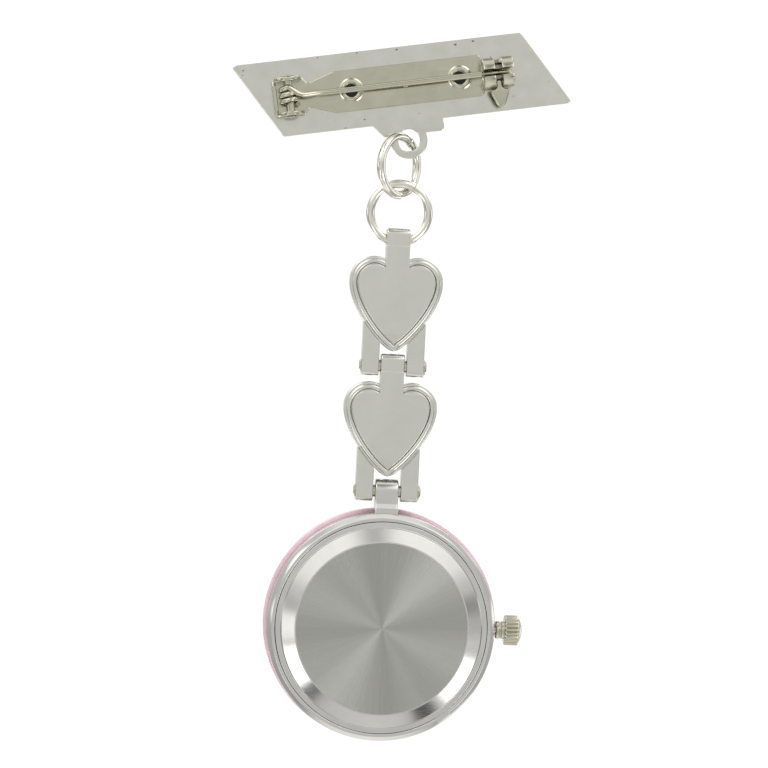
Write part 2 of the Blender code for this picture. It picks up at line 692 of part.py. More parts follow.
def make_train(parent):
    gear("fifth_wheel", FIFTH_PLACE, (36, 0.10, 1.35, 1.50), (6, 0.13, 0.95, 1.35), (0.09, -0.3, 2.1), 0,
         "brass", parent)
    gear("third_wheel", THIRD_PLACE, (45, 0.1059, 0.60, 0.74), (6, 0.10, 0.22, 0.60), (0.09, -0.3, 2.1), 0,
         "brass", parent)
    gear("seconds_wheel", (0, 0), (30, 0.13, 1.05, 1.20), (6, 0.1059, 0.52, 1.05), (0.13, -2.24, 2.1), 0,
         "brass", parent)
    gear("centre_wheel", (0, 0), (48, 0.10, 0.25, 0.40), (10, 0.11, -0.82, -0.62), (0.42, -2.02, 0.40), 0.20,
         "brass", parent)
    gear("minute_wheel", MINUTE_PLACE, (30, 0.11, -0.80, -0.65), (8, 0.11, -1.03, -0.80),
         (0.35, -1.03, -0.65), 0.25, "brass", parent)
    hour = cylinder("hour_wheel", 0.82, -1.80, -0.87, 16, parent)
    joined(hour, prism("teeth", [toothed(32, 0.11)], -1.02, -0.87, parent))
    finish(cut(hour, cylinder("bore", 0.60, -3, 0, 14, parent)), "brass")
    rotor = gear("rotor", ROTOR_PLACE, (6, 0.10, 1.0, 1.60), (6, 0.09, 0.9, 1.1), (0.09, -0.3, 2.1), 0,
                 "steel", parent)
    magnet = cylinder("magnet", 0.8, 0.45, 0.95, 16, parent, shifted(*ROTOR_PLACE))
    finish(joined(rotor, magnet), "steel")


def make_electrics(parent):
    x, y = ROTOR_PLACE
    outline = rounded([(-5.9, 1.8), (1.9, 1.8), (1.9, 7.2), (0.9, 7.2), (0.9, 5.2), (-4.9, 5.2),
                       (-4.9, 7.2), (-5.9, 7.2)], 0.3)
    stator = prism("stator", [outline, circle(x, y, 1.1, 20)], 0.50, 0.90, parent)
    cut(stator, box("gear_room", (-0.9, 1.0, 0), (2.5, 2.9, 2), parent))
    finish(stator, "steel")
    core = box("coil_core", (-5.8, 6.3, 0.94), (1.8, 7.15, 1.3), parent)
    finish(core, "steel", smooth=False)
    winding = turned("coil_winding", [(1.0, 2.8), (1.0, -2.8), (0.62, -2.8), (0.62, 2.8)], 16, parent,
                     along_x(-2.0, 6.72, 1.12))
    cut(winding, box("underside", (-6, 5, -1), (2, 9, 0.2), parent))
    finish(winding, "copper")
    outline = rounded([(2.4, 4.4), (7.6, 1.4), (8.3, 3.2), (4.6, 7.6), (2.4, 8.4)], 0.4)
    board = prism("circuit_board", [outline], 0.25, 0.55, parent)
    cut(board, cylinder("pillar_hole", 0.85, 0, 1, 14, parent, shifted(4.6, 3.9)))
    finish(board, "board")
    finish(cylinder("quartz_crystal", 0.6, 0, 3.6, 14, parent, along_x(3.3, 6.0, 1.2)), "steel")
    place = shifted(*BATTERY_PLACE)
    cell = [(0, 2.1), (2.5, 2.1), (2.5, 1.9), (BATTERY_RADIUS, 1.75), (BATTERY_RADIUS, -0.5), (0, -0.5)]
    finish(turned("battery", cell, 32, parent, place), "steel")
    outline = rounded([(-0.3, -8.6), (1.2, -9.0), (2.8, -4.6), (6.6, -1.9), (6.3, -1.1), (2.0, -4.0)], 0.3)
    finish(prism("battery_strap", [outline], 2.15, 2.3, parent), "steel")
    outline = rounded([(5.9, -0.9), (6.4, -0.9), (6.5, 2.0), (4.4, 3.0), (4.1, 2.5), (5.9, 1.6)], 0.15)
    lever = prism("setting_lever", [outline], 0.85, 1.05, parent)
    claw = cylinder("claw", 0.17, 0.20, 0.95, 8, parent, shifted(6.15, -0.5))
    cut(claw, cylinder("stem_room", 0.30, 0, 20, 10, parent, along_x(0, 0, CROWN_DEPTH)))
    finish(joined(lever, claw), "steel")


# ---------------------------------------------------------------- whole object


def make_brooch():
    frame = facing_back((0, 0, 0), PLATE_TILT)
    parent = empty("brooch_frame", **frame)
    make_plate(parent)
    make_bar(parent)
    make_rivet(parent)
    make_stem(parent)
    make_catch(parent)


def make_chain():
    across = Vector((-cos(UPPER_RING_TURN), -sin(UPPER_RING_TURN), 0))
    make_ring("upper_jump_ring", UPPER_RING_CENTRE, UPPER_RING_RADIUS, across, None)
    centre = Vector((CHAIN_X, CHAIN_Y, LOWER_RING_Z))
    make_ring("lower_jump_ring", centre, LOWER_RING_RADIUS, Vector((-1, 0, 0)), None)
    for index, name in enumerate(("upper", "lower")):
        place = (CHAIN_X, CHAIN_Y, LINK_HOLE_Z - index * LINK_PITCH)
        parent = empty(f"{name}_link_frame", **facing_back(place))
        make_link(f"{name}_heart_link", parent)
        make_link_pin(f"{name}_link_pin", parent)


def make_watch():
    place = (CHAIN_X, CHAIN_Y, LINK_HOLE_Z - 2 * LINK_PITCH - WATCH_DROP)
    parent = empty("watch_frame", **facing_back(place))
    make_case(parent)
    make_case_back(parent)
    make_bezel(parent)
    make_dial(parent)
    hand("hour_hand", 6.2, 1.6, 0.55, 1.05, 0.85, -1.78, 55.7, "black", parent)
    hand("minute_hand", 9.2, 2.0, 0.42, 0.85, 0.45, -2.0, -52, "black", parent)
    hand("seconds_hand", 10.2, 3.0, 0.14, 0.55, 0.16, -2.2, 150, "red", parent)
    make_crown(parent)
    make_tube(parent)
    make_plates(parent)
    make_train(parent)
    make_electrics(parent)


clear_scene()
PARTS = new_collection("fob_watch")
make_brooch()
make_chain()
make_watch()
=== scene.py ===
"""Looks of the fob watch: fine meshes, materials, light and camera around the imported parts.

Pieces are drawn in millimetres in the frame of the brooch, a link or the watch head, as seen from the back:
local x runs right, local y up, and local z out of the back.
"""

from math import asin, atan2, cos, degrees, hypot, pi, radians, sin

import bmesh
import bpy
from mathutils import Euler, Matrix, Vector
from mathutils.geometry import tessellate_polygon


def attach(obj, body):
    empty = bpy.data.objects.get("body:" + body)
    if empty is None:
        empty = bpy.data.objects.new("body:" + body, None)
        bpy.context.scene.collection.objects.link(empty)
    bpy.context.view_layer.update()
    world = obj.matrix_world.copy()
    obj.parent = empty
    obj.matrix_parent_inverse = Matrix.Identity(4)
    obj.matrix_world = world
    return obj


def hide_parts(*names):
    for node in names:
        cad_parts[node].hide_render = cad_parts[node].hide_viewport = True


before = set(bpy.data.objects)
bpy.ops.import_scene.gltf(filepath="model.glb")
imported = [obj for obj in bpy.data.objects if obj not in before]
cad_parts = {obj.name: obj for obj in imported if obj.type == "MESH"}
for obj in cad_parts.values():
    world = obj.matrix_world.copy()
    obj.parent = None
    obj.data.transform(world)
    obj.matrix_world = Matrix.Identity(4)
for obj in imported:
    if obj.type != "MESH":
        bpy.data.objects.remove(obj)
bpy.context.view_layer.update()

MM = 0.001

# Brooch
PLATE_LENGTH = 35.6
PLATE_HEIGHT = 9.2
PLATE_SHEAR = 5.33
PLATE_THICKNESS = 0.8
PLATE_TILT = radians(9.6)
EAR_DROP = 6.8
EAR_RADIUS = 2.25
EAR_HOLE_RADIUS = 1.35
BAR_LOW = 0.03
BAR_HIGH = 0.53
STEM_RADIUS = 0.34
STEM_LIFT = 1.95
HINGE_U = -13.9
COIL_RADIUS = 0.92
COIL_PITCH = 0.74
CATCH_U = 11.5
RIVET_HOLES_U = (-6.3, 7.0)
CATCH_LENGTH = 3.7

# Chain
WIRE_RADIUS = 0.53  # drawn thinner than the solids' 0.575, so that the two rings clear each other
RING_RADIUS = (3.55, 3.54)
UPPER_RING_TURN = radians(48)
CHAIN_X = -0.35
CHAIN_Y = 0.28
LINK_HOLE_Z = -18.99
LINK_PITCH = 15.3
HEART_HALF_WIDTH = 5.7
HEART_HEIGHT = 11.5
HEART_TOP = -1.95
LINK_HALF_DEPTH = 1.2
LEG_WIDTH = 2.1
LEG_SPAN = 7.6
PIN_RADIUS = 0.74
TAB_CORNER = 0.7
LEG_CORNER = 0.6

# Watch head
WATCH_DROP = 16.46
KNUCKLE_BORE = 0.82
CASE_RADIUS = 13.9
CROWN_Z = 0.3
CROWN_RADIUS = 1.85
CROWN_RIBS = 22
DIAL_FRONT = -1.40


# ---------------------------------------------------------------- frames


def back_frame(place, tilt=0.0):
    turn = Euler((radians(90), -tilt, radians(180))).to_matrix().to_4x4()
    return Matrix.Translation(Vector(place) * MM) @ turn


BROOCH = back_frame((0, 0, 0), PLATE_TILT)
UPPER_LINK = back_frame((CHAIN_X, CHAIN_Y, LINK_HOLE_Z))
LOWER_LINK = back_frame((CHAIN_X, CHAIN_Y, LINK_HOLE_Z - LINK_PITCH))
HEAD = back_frame((CHAIN_X, CHAIN_Y, LINK_HOLE_Z - 2 * LINK_PITCH - WATCH_DROP))
WORLD = Matrix()


def at(x=0.0, y=0.0, z=0.0):
    return Matrix.Translation((x, y, z))


def along_x(x=0.0, y=0.0, z=0.0):
    return at(x, y, z) @ Matrix.Rotation(radians(90), 4, "Y")


def along_y(x=0.0, y=0.0, z=0.0):
    return at(x, y, z) @ Matrix.Rotation(radians(-90), 4, "X")


SIDEWAYS = Matrix(((0, 0, -1, 0), (0, 1, 0, 0), (1, 0, 0, 0), (0, 0, 0, 1)))


# ---------------------------------------------------------------- outlines


def arc(x, y, radius, start, end, steps):
    angles = [radians(start + (end - start) * i / steps) for i in range(steps + 1)]
    return [(x + radius * cos(a), y + radius * sin(a)) for a in angles]


def circle(radius, steps, x=0.0, y=0.0):
    return arc(x, y, radius, 0, 360, steps)[:-1]


def bezier(a, b, c, d, steps):
    points = []
    for i in range(steps + 1):
        t = i / steps
        weights = ((1 - t) ** 3, 3 * t * (1 - t) ** 2, 3 * t * t * (1 - t), t ** 3)
        points.append(tuple(sum(w * p[k] for w, p in zip(weights, (a, b, c, d))) for k in (0, 1)))
    return points


def rounded(corners, radius, steps=6, closed=True):
    """A polygon with each corner replaced by a small arc, and never more than half of a side used up."""
    points = []
    count = len(corners)
    for i, corner in enumerate(corners):
        here = Vector(corner)
        if not closed and i in (0, count - 1):
            points.append(tuple(here))
            continue
        to_back = Vector(corners[i - 1]) - here
        to_next = Vector(corners[(i + 1) % count]) - here
        half = to_back.angle(to_next) / 2
        if half > radians(87):
            points.append(tuple(here))
            continue
        reach = min(radius * cos(half) / sin(half), 0.45 * to_back.length, 0.45 * to_next.length)
        start = here + to_back.normalized() * reach
        end = here + to_next.normalized() * reach
        for k in range(steps + 1):
            t = k / steps
            points.append(tuple((1 - t) ** 2 * start + 2 * t * (1 - t) * here + t * t * end))
    return points


def area(loop):
    return sum(a[0] * b[1] - b[0] * a[1] for a, b in zip(loop, loop[1:] + loop[:1])) / 2


def offset(loop, amount):
    """Moves each point of a counter-clockwise loop outwards, square to its two sides."""
    moved = []
    for i, point in enumerate(loop):
        here = Vector(point)
        first = (here - Vector(loop[i - 1])).normalized()
        second = (Vector(loop[(i + 1) % len(loop)]) - here).normalized()
        one, two = Vector((first.y, -first.x)), Vector((second.y, -second.x))
        middle = (one + two).normalized()
        moved.append(tuple(here + middle * amount / max(middle.dot(one), 0.6)))
    return moved


def on_axis(near, far):
    return near[1] - near[0] * (far[1] - near[1]) / (far[0] - near[0])


def heart(inset, steps=22):
    """A heart whose lobes' tops lie at HEART_TOP, drawn in by inset all round."""
    lobe = 3.05
    middle = HEART_HALF_WIDTH - lobe
    side = HEART_TOP - 3.3
    tip = HEART_TOP - HEART_HEIGHT
    notch = HEART_TOP - lobe + (lobe ** 2 - middle ** 2) ** 0.5
    start = degrees(atan2(notch - HEART_TOP + lobe, -middle))
    half = arc(middle, HEART_TOP - lobe, lobe, start, 0, steps)
    half += bezier((HEART_HALF_WIDTH, side), (HEART_HALF_WIDTH - 0.1, side - 2.7), (2.9, tip + 1.9),
                   (0.9, tip + 0.35), steps)
    if inset == 0:
        half += bezier((0.9, tip + 0.35), (0.65, tip + 0.16), (0.35, tip), (0, tip), 5)[1:]
        return half + [(-x, y) for x, y in reversed(half[1:-1])]
    drawn_in = []
    for before, here, after in zip(half, half[1:], half[2:]):
        dx, dy = after[0] - before[0], after[1] - before[1]
        length = hypot(dx, dy)
        moved = (here[0] + dy / length * inset, here[1] - dx / length * inset)
        if moved[0] > 0.25:
            drawn_in.append(moved)
    ends = [(0, on_axis(*drawn_in[:2])), (0, on_axis(*drawn_in[:-3:-1]))]
    half = [ends[0]] + drawn_in + [ends[1]]
    return half + [(-x, y) for x, y in reversed(half[1:-1])]


# ---------------------------------------------------------------- meshes


class Shape:
    """A piece's points and faces in the making, in mm, with a material number on each face."""

    def __init__(self):
        self.points = []
        self.faces = []
        self.looks = []

    def add(self, made, place=None, look=0):
        points, faces = made
        first = len(self.points)
        if place is not None:
            points = [place @ Vector(point) for point in points]
        self.points += [tuple(point) for point in points]
        for face in faces:
            self.faces.append(tuple(first + i for i in face))
            middle = sum((Vector(points[i]) for i in face), Vector()) / len(face)
            self.looks.append(look(middle) if callable(look) else look)
        return self


def skin(rings, faces):
    """Joins rings of equal length, each a list of point numbers, with quads."""
    for lower, upper in zip(rings, rings[1:]):
        count = len(lower)
        for i in range(count):
            faces.append((lower[i], lower[(i + 1) % count], upper[(i + 1) % count], upper[i]))


def rim(loop, depth, bevel, inwards, towards, steps):
    """Loops that round an edge: the first is flush with the face at depth, the last is full size."""
    loops = []
    for k in range(steps + 1):
        angle = pi / 2 * k / steps
        away = bevel * (1 - sin(angle)) * inwards
        loops.append((offset(loop, -away), depth + towards * bevel * (1 - cos(angle))))
    return loops


def slab(outer, low, high, bevel=0.1, holes=(), pockets=(), steps=4):
    """A plate between two depths with rounded edges. A pocket is (outline, side, floor).

    Side is -1 for the low face and 1 for the high one.
    """
    points, faces = [], []
    caps = {-1: [], 1: []}

    def put(loops):
        rings = []
        for loop, depth in loops:
            first = len(points)
            points.extend((x, y, depth) for x, y in loop)
            rings.append(list(range(first, len(points))))
        skin(rings, faces)
        return rings

    def fill(loops):
        flat = [i for loop in loops for i in loop]
        for triangle in tessellate_polygon([[Vector(points[i]) for i in loop] for loop in loops]):
            faces.append(tuple(flat[i] for i in triangle))

    def turned_left(loop):
        loop = list(loop)
        return loop if area(loop) > 0 else loop[::-1]

    for loop, inwards in [(outer, 1)] + [(hole, -1) for hole in holes]:
        loop = turned_left(loop)
        upper = rim(loop, high, bevel, inwards, -1, steps)[::-1]
        rings = put(rim(loop, low, bevel, inwards, 1, steps) + upper)
        caps[-1].append(rings[0])
        caps[1].append(rings[-1])
    for loop, side, floor in pockets:
        loop = turned_left(loop)
        rings = put(rim(loop, high if side > 0 else low, bevel, -1, -side, steps) + [(loop, floor)])
        caps[side].append(rings[0])
        fill([rings[-1]])
    fill(caps[-1])
    fill(caps[1])
    return points, faces


def lathe(profile, round_by=0.08, steps=144, soft=4):
    """A profile of (radius, depth) points turned about z. It is open when it starts on the axis."""
    open_ended = profile[0][0] == 0
    if round_by:
        profile = rounded(profile, round_by, soft, closed=not open_ended)
    points, faces, rings = [], [], []
    for radius, depth in profile:
        first = len(points)
        if radius < 1e-6:
            points.append((0, 0, depth))
            rings.append([first])
            continue
        angles = [2 * pi * i / steps for i in range(steps)]
        points += [(radius * cos(angle), radius * sin(angle), depth) for angle in angles]
        rings.append(list(range(first, first + steps)))
    if not open_ended:
        rings.append(rings[0])
    for one, two in zip(rings, rings[1:]):
        if len(one) == len(two):
            skin([one, two], faces)
            continue
        pole, edge = (one[0], two) if len(one) == 1 else (two[0], one)
        faces += [(pole, edge[i], edge[(i + 1) % steps]) for i in range(steps)]
    return points, faces


def wire(path, radius, sides=24, point_start=0.0, flat=0.06):
    """A round wire along a smooth path. Its ends have a rounded edge, or its start is drawn to a point."""
    path = [Vector(point) for point in path]
    count = len(path)
    tangents = [(path[min(i + 1, count - 1)] - path[max(i - 1, 0)]).normalized() for i in range(count)]
    side = tangents[0].orthogonal().normalized()
    points, faces, rings = [], [], []

    def put(centre, across, up, size):
        first = len(points)
        for i in range(sides):
            angle = 2 * pi * i / sides
            points.append(tuple(centre + size * (cos(angle) * across + sin(angle) * up)))
        rings.append(list(range(first, len(points))))

    travelled = 0.0
    for i, (centre, along) in enumerate(zip(path, tangents)):
        side = (side - along * side.dot(along)).normalized()
        up = along.cross(side)
        if i:
            travelled += (centre - path[i - 1]).length
        size = radius
        if point_start and travelled < point_start:
            size = radius * (0.12 + 0.88 * (travelled / point_start) ** 0.6)
        if i == 0:
            put(centre, side, up, size - min(flat, size * 0.4))
        put(centre + along * (min(flat, size * 0.4) if i == 0 else 0), side, up, size)
        if i == count - 1:
            put(centre + along * flat, side, up, size - flat)
    skin(rings, faces)
    faces += [tuple(rings[0]), tuple(reversed(rings[-1]))]
    return points, faces


def loft(sections):
    """Joins closed sections of equal length, each a list of 3-D points, and closes both ends."""
    points, faces, rings = [], [], []
    for section in sections:
        first = len(points)
        points += [tuple(point) for point in section]
        rings.append(list(range(first, len(points))))
    skin(rings, faces)
    faces += [tuple(reversed(rings[0])), tuple(rings[-1])]
    return points, faces


def lettering(text, size, thickness):
    """Flat figures centred on the origin, in the plain built-in face."""
    curve = bpy.data.curves.new("figures", "FONT")
    curve.body = text
    curve.size = size
    curve.align_x = curve.align_y = "CENTER"
    curve.extrude = thickness / 2
    obj = bpy.data.objects.new("figures", curve)
    bpy.context.scene.collection.objects.link(obj)
    graph = bpy.context.evaluated_depsgraph_get()
    mesh = bpy.data.meshes.new_from_object(obj.evaluated_get(graph))
    made = [tuple(v.co) for v in mesh.vertices], [tuple(p.vertices) for p in mesh.polygons]
    bpy.data.objects.remove(obj)
    bpy.data.meshes.remove(mesh)
    return made


def carve(made, cutters):
    """Cuts each (points, faces) solid out of the first, and returns what is left."""
    made_objects = []
    for points, faces in [made] + cutters:
        mesh = bpy.data.meshes.new("carve")
        mesh.from_pydata(points, [], faces)
        tidy = bmesh.new()
        tidy.from_mesh(mesh)
        bmesh.ops.recalc_face_normals(tidy, faces=tidy.faces)
        tidy.to_mesh(mesh)
        tidy.free()
        obj = bpy.data.objects.new("carve", mesh)
        bpy.context.scene.collection.objects.link(obj)
        made_objects.append(obj)
    body = made_objects[0]
    for cutter in made_objects[1:]:
        modifier = body.modifiers.new("cut", "BOOLEAN")
        modifier.operation = "DIFFERENCE"
        modifier.solver = "EXACT"
        modifier.object = cutter
    graph = bpy.context.evaluated_depsgraph_get()
    mesh = bpy.data.meshes.new_from_object(body.evaluated_get(graph))
    left = [tuple(v.co) for v in mesh.vertices], [tuple(p.vertices) for p in mesh.polygons]
    for obj in made_objects:
        bpy.data.objects.remove(obj)
    return left


def piece(name, shape, place, looks, body, nodes):
    """Makes the shape an object that rides on a body and stands for CAD nodes."""
    mesh = bpy.data.meshes.new(name)
    mesh.from_pydata([Vector(point) * MM for point in shape.points], [], shape.faces)
    tidy = bmesh.new()
    tidy.from_mesh(mesh)
    bmesh.ops.recalc_face_normals(tidy, faces=tidy.faces)
    tidy.to_mesh(mesh)
    tidy.free()
    for look in looks:
        mesh.materials.append(look)
    mesh.polygons.foreach_set("material_index", shape.looks)
    mesh.shade_smooth()
    mesh.set_sharp_from_angle(angle=radians(40))
    obj = bpy.data.objects.new(name, mesh)
    bpy.context.scene.collection.objects.link(obj)
    obj.matrix_world = place
    level = obj.modifiers.new("level", "WEIGHTED_NORMAL")
    level.weight = 90
    level.keep_sharp = True
    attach(obj, body)
    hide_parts(*nodes)
    return obj


# ---------------------------------------------------------------- materials


def new_material(name, colour, roughness, metallic=0.0, **sockets):
    """A shader with its plain values on its own sockets; an extra socket is named with _ for a space."""
    made = bpy.data.materials.new(name)
    made.use_nodes = True
    shader = made.node_tree.nodes["Principled BSDF"]
    shader.inputs["Base Color"].default_value = (*colour, 1.0)
    shader.inputs["Roughness"].default_value = roughness
    shader.inputs["Metallic"].default_value = metallic
    for key, value in sockets.items():
        shader.inputs[key.replace("_", " ")].default_value = value
    return made


def shader_of(mat):
    return mat.node_tree.nodes["Principled BSDF"]


def grain(mat, scale, stretch=(1, 1, 1), turn=(0, 0, 0), detail=4.0, rough=0.55):
    """Noise in the piece's own coordinates, with about scale features to a metre, and its value's socket."""
    tree = mat.node_tree
    coordinates = tree.nodes.new("ShaderNodeTexCoord")
    mapping = tree.nodes.new("ShaderNodeMapping")
    mapping.inputs["Scale"].default_value = stretch
    mapping.inputs["Rotation"].default_value = turn
    noise = tree.nodes.new("ShaderNodeTexNoise")
    noise.inputs["Scale"].default_value = scale
    noise.inputs["Detail"].default_value = detail
    noise.inputs["Roughness"].default_value = rough
    tree.links.new(coordinates.outputs["Object"], mapping.inputs["Vector"])
    tree.links.new(mapping.outputs["Vector"], noise.inputs["Vector"])
    return noise.outputs["Fac"]


def ranged(mat, fac, low, high, start=0.3, end=0.7):
    node = mat.node_tree.nodes.new("ShaderNodeMapRange")
    node.inputs["From Min"].default_value = start
    node.inputs["From Max"].default_value = end
    node.inputs["To Min"].default_value = low
    node.inputs["To Max"].default_value = high
    mat.node_tree.links.new(fac, node.inputs["Value"])
    return node.outputs["Result"]


def tint(mat, fac, one, two, start=0.3, end=0.7):
    """Drives the base colour between two colours."""
    tree = mat.node_tree
    ramp = tree.nodes.new("ShaderNodeValToRGB")
    ramp.color_ramp.elements[0].position = start
    ramp.color_ramp.elements[0].color = (*one, 1.0)
    ramp.color_ramp.elements[1].position = end
    ramp.color_ramp.elements[1].color = (*two, 1.0)
    tree.links.new(fac, ramp.inputs["Fac"])
    tree.links.new(ramp.outputs["Color"], shader_of(mat).inputs["Base Color"])


def gloss(mat, fac, low, high, start=0.3, end=0.7):
    mat.node_tree.links.new(ranged(mat, fac, low, high, start, end), shader_of(mat).inputs["Roughness"])


def relief(mat, layers):
    """Bumps from (value socket, height in micrometres) pairs, one laid over another."""
    tree = mat.node_tree
    before = None
    for fac, height in layers:
        bump = tree.nodes.new("ShaderNodeBump")
        bump.inputs["Strength"].default_value = 1.0
        bump.inputs["Distance"].default_value = height * 1e-6
        tree.links.new(fac, bump.inputs["Height"])
        if before is not None:
            tree.links.new(before, bump.inputs["Normal"])
        before = bump.outputs["Normal"]
    tree.links.new(before, shader_of(mat).inputs["Normal"])


def worn(mat, base, dull, roughness):
    """Dulls the metal's colour in soft patches and its roughness along fine hairlines."""
    patches = grain(mat, 420, detail=5.0)
    tint(mat, patches, base, dull)
    gloss(mat, grain(mat, 900, stretch=(1, 9, 1), turn=(0, 0, 0.5), detail=5.0), *roughness)


def polished_metal(name, base, dull, roughness, hairline=0.35, mottle=1.6, **sockets):
    mat = new_material(name, base, sum(roughness) / 2, 1.0, **sockets)
    worn(mat, base, dull, roughness)
    lines = grain(mat, 2600, stretch=(0.08, 1, 1), turn=(0, 0, 0.35), detail=3.0)
    cross = grain(mat, 2300, stretch=(1, 0.07, 1), turn=(0, 0, -0.2), detail=3.0)
    broad = grain(mat, 260, detail=2.0, rough=0.4)
    relief(mat, [(broad, mottle), (lines, hairline), (cross, hairline * 0.7)])
    return mat


def pitted_metal(name, base, dull, roughness, hairline):
    """Plated die-cast metal: polished, with scattered pin holes and short dark nicks left by the casting."""
    mat = polished_metal(name, base, dull, roughness, hairline)
    tree = mat.node_tree
    shader = shader_of(mat)
    coordinates = tree.nodes.new("ShaderNodeTexCoord")
    mapping = tree.nodes.new("ShaderNodeMapping")
    mapping.inputs["Scale"].default_value = (1.0, 1.35, 1.0)
    cells = tree.nodes.new("ShaderNodeTexVoronoi")
    cells.voronoi_dimensions = "2D"
    cells.inputs["Scale"].default_value = 430.0
    tree.links.new(coordinates.outputs["Object"], mapping.inputs["Vector"])
    tree.links.new(mapping.outputs["Vector"], cells.inputs["Vector"])
    split = tree.nodes.new("ShaderNodeSeparateColor")
    tree.links.new(cells.outputs["Color"], split.inputs["Color"])
    chosen = tree.nodes.new("ShaderNodeMath")
    chosen.operation = "MULTIPLY_ADD"
    chosen.inputs[1].default_value = 0.16
    chosen.inputs[2].default_value = -0.085
    tree.links.new(split.outputs["Red"], chosen.inputs[0])
    inside = tree.nodes.new("ShaderNodeMath")
    inside.operation = "LESS_THAN"
    tree.links.new(cells.outputs["Distance"], inside.inputs[0])
    tree.links.new(chosen.outputs["Value"], inside.inputs[1])
    mix = tree.nodes.new("ShaderNodeMixRGB")
    mix.inputs["Color2"].default_value = (0.20, 0.19, 0.16, 1.0)
    colour = shader.inputs["Base Color"].links[0].from_socket
    tree.links.new(inside.outputs["Value"], mix.inputs["Fac"])
    tree.links.new(colour, mix.inputs["Color1"])
    tree.links.new(mix.outputs["Color"], shader.inputs["Base Color"])
    bump = tree.nodes.new("ShaderNodeBump")
    bump.invert = True
    bump.inputs["Distance"].default_value = 12e-6
    before = shader.inputs["Normal"].links[0].from_socket
    tree.links.new(inside.outputs["Value"], bump.inputs["Height"])
    tree.links.new(before, bump.inputs["Normal"])
    tree.links.new(bump.outputs["Normal"], shader.inputs["Normal"])
    return mat


def polar_grain(mat, across, around, detail=3.0):
    """Noise that is long in the radial direction when across is small, around the piece's z axis."""
    tree = mat.node_tree
    coordinates = tree.nodes.new("ShaderNodeTexCoord")
    split = tree.nodes.new("ShaderNodeSeparateXYZ")
    tree.links.new(coordinates.outputs["Object"], split.inputs["Vector"])
    flat = tree.nodes.new("ShaderNodeCombineXYZ")
    tree.links.new(split.outputs["X"], flat.inputs["X"])
    tree.links.new(split.outputs["Y"], flat.inputs["Y"])
    unit = tree.nodes.new("ShaderNodeVectorMath")
    unit.operation = "NORMALIZE"
    tree.links.new(flat.outputs["Vector"], unit.inputs[0])
    spread = tree.nodes.new("ShaderNodeVectorMath")
    spread.operation = "SCALE"
    spread.inputs["Scale"].default_value = around
    tree.links.new(unit.outputs["Vector"], spread.inputs[0])
    inner = tree.nodes.new("ShaderNodeVectorMath")
    inner.operation = "SCALE"
    inner.inputs["Scale"].default_value = across
    tree.links.new(flat.outputs["Vector"], inner.inputs[0])
    both = tree.nodes.new("ShaderNodeVectorMath")
    both.operation = "ADD"
    tree.links.new(spread.outputs["Vector"], both.inputs[0])
    tree.links.new(inner.outputs["Vector"], both.inputs[1])
    noise = tree.nodes.new("ShaderNodeTexNoise")
    noise.inputs["Scale"].default_value = 1.0
    noise.inputs["Detail"].default_value = detail
    tree.links.new(both.outputs["Vector"], noise.inputs["Vector"])
    return noise.outputs["Fac"]


def sunray_metal(name):
    """Metal brushed outwards from the middle, in streaks that catch the light in turn."""
    mat = new_material(name, (0.40, 0.40, 0.38), 0.34, 1.0, Anisotropic=1.0)
    fine = polar_grain(mat, 40.0, 150.0, detail=5.0)
    hair = polar_grain(mat, 90.0, 420.0, detail=2.0)
    tint(mat, fine, (0.36, 0.36, 0.34), (0.41, 0.41, 0.385), 0.3, 0.7)
    gloss(mat, hair, 0.26, 0.38)
    relief(mat, [(hair, 0.9)])
    tangent = mat.node_tree.nodes.new("ShaderNodeTangent")
    tangent.direction_type = "RADIAL"
    tangent.axis = "Z"
    mat.node_tree.links.new(tangent.outputs["Tangent"], shader_of(mat).inputs["Tangent"])
    return mat


def turned_metal(name, base, dull, roughness):
    """Metal with the fine rings of a lathe about the piece's z axis."""
    mat = new_material(name, base, sum(roughness) / 2, 1.0)
    worn(mat, base, dull, roughness)
    rings = polar_grain(mat, 9000.0, 1.5, detail=2.0)
    relief(mat, [(grain(mat, 240, detail=2.0), 1.2), (rings, 0.5)])
    return mat


def coated_paint(name, one, two, roughness, speck=900, peel=2.0, **sockets):
    """A glossy lacquer or enamel with a little depth in its colour and an uneven surface."""
    mat = new_material(name, one, roughness, 0.0, **sockets)
    tint(mat, grain(mat, speck, detail=6.0, rough=0.65), one, two, 0.35, 0.65)
    gloss(mat, grain(mat, 1500, detail=4.0), roughness * 0.75, roughness * 1.35)
    relief(mat, [(grain(mat, 700, detail=2.0, rough=0.4), peel)])
    return mat


def moulded(name, one, two, roughness, **sockets):
    """Moulded plastic or rubber with a fine grain."""
    mat = new_material(name, one, roughness, 0.0, **sockets)
    tint(mat, grain(mat, 1200, detail=5.0), one, two)
    gloss(mat, grain(mat, 2500, detail=3.0), roughness * 0.8, roughness * 1.2)
    relief(mat, [(grain(mat, 5200, detail=3.0), 3.0)])
    return mat


def circuit(name):
    """Green solder mask with paler copper tracks under it."""
    mat = new_material(name, (0.02, 0.16, 0.07), 0.35, 0.0, Coat_Weight=0.4)
    tree = mat.node_tree
    coordinates = tree.nodes.new("ShaderNodeTexCoord")
    brick = tree.nodes.new("ShaderNodeTexBrick")
    brick.inputs["Color1"].default_value = (0.015, 0.13, 0.06, 1)
    brick.inputs["Color2"].default_value = (0.02, 0.17, 0.075, 1)
    brick.inputs["Mortar"].default_value = (0.10, 0.30, 0.10, 1)
    brick.inputs["Scale"].default_value = 900.0
    brick.inputs["Mortar Size"].default_value = 0.06
    tree.links.new(coordinates.outputs["Object"], brick.inputs["Vector"])
    tree.links.new(brick.outputs["Color"], shader_of(mat).inputs["Base Color"])
    gloss(mat, grain(mat, 1500), 0.25, 0.45)
    relief(mat, [(brick.outputs["Fac"], 10.0)])
    return mat


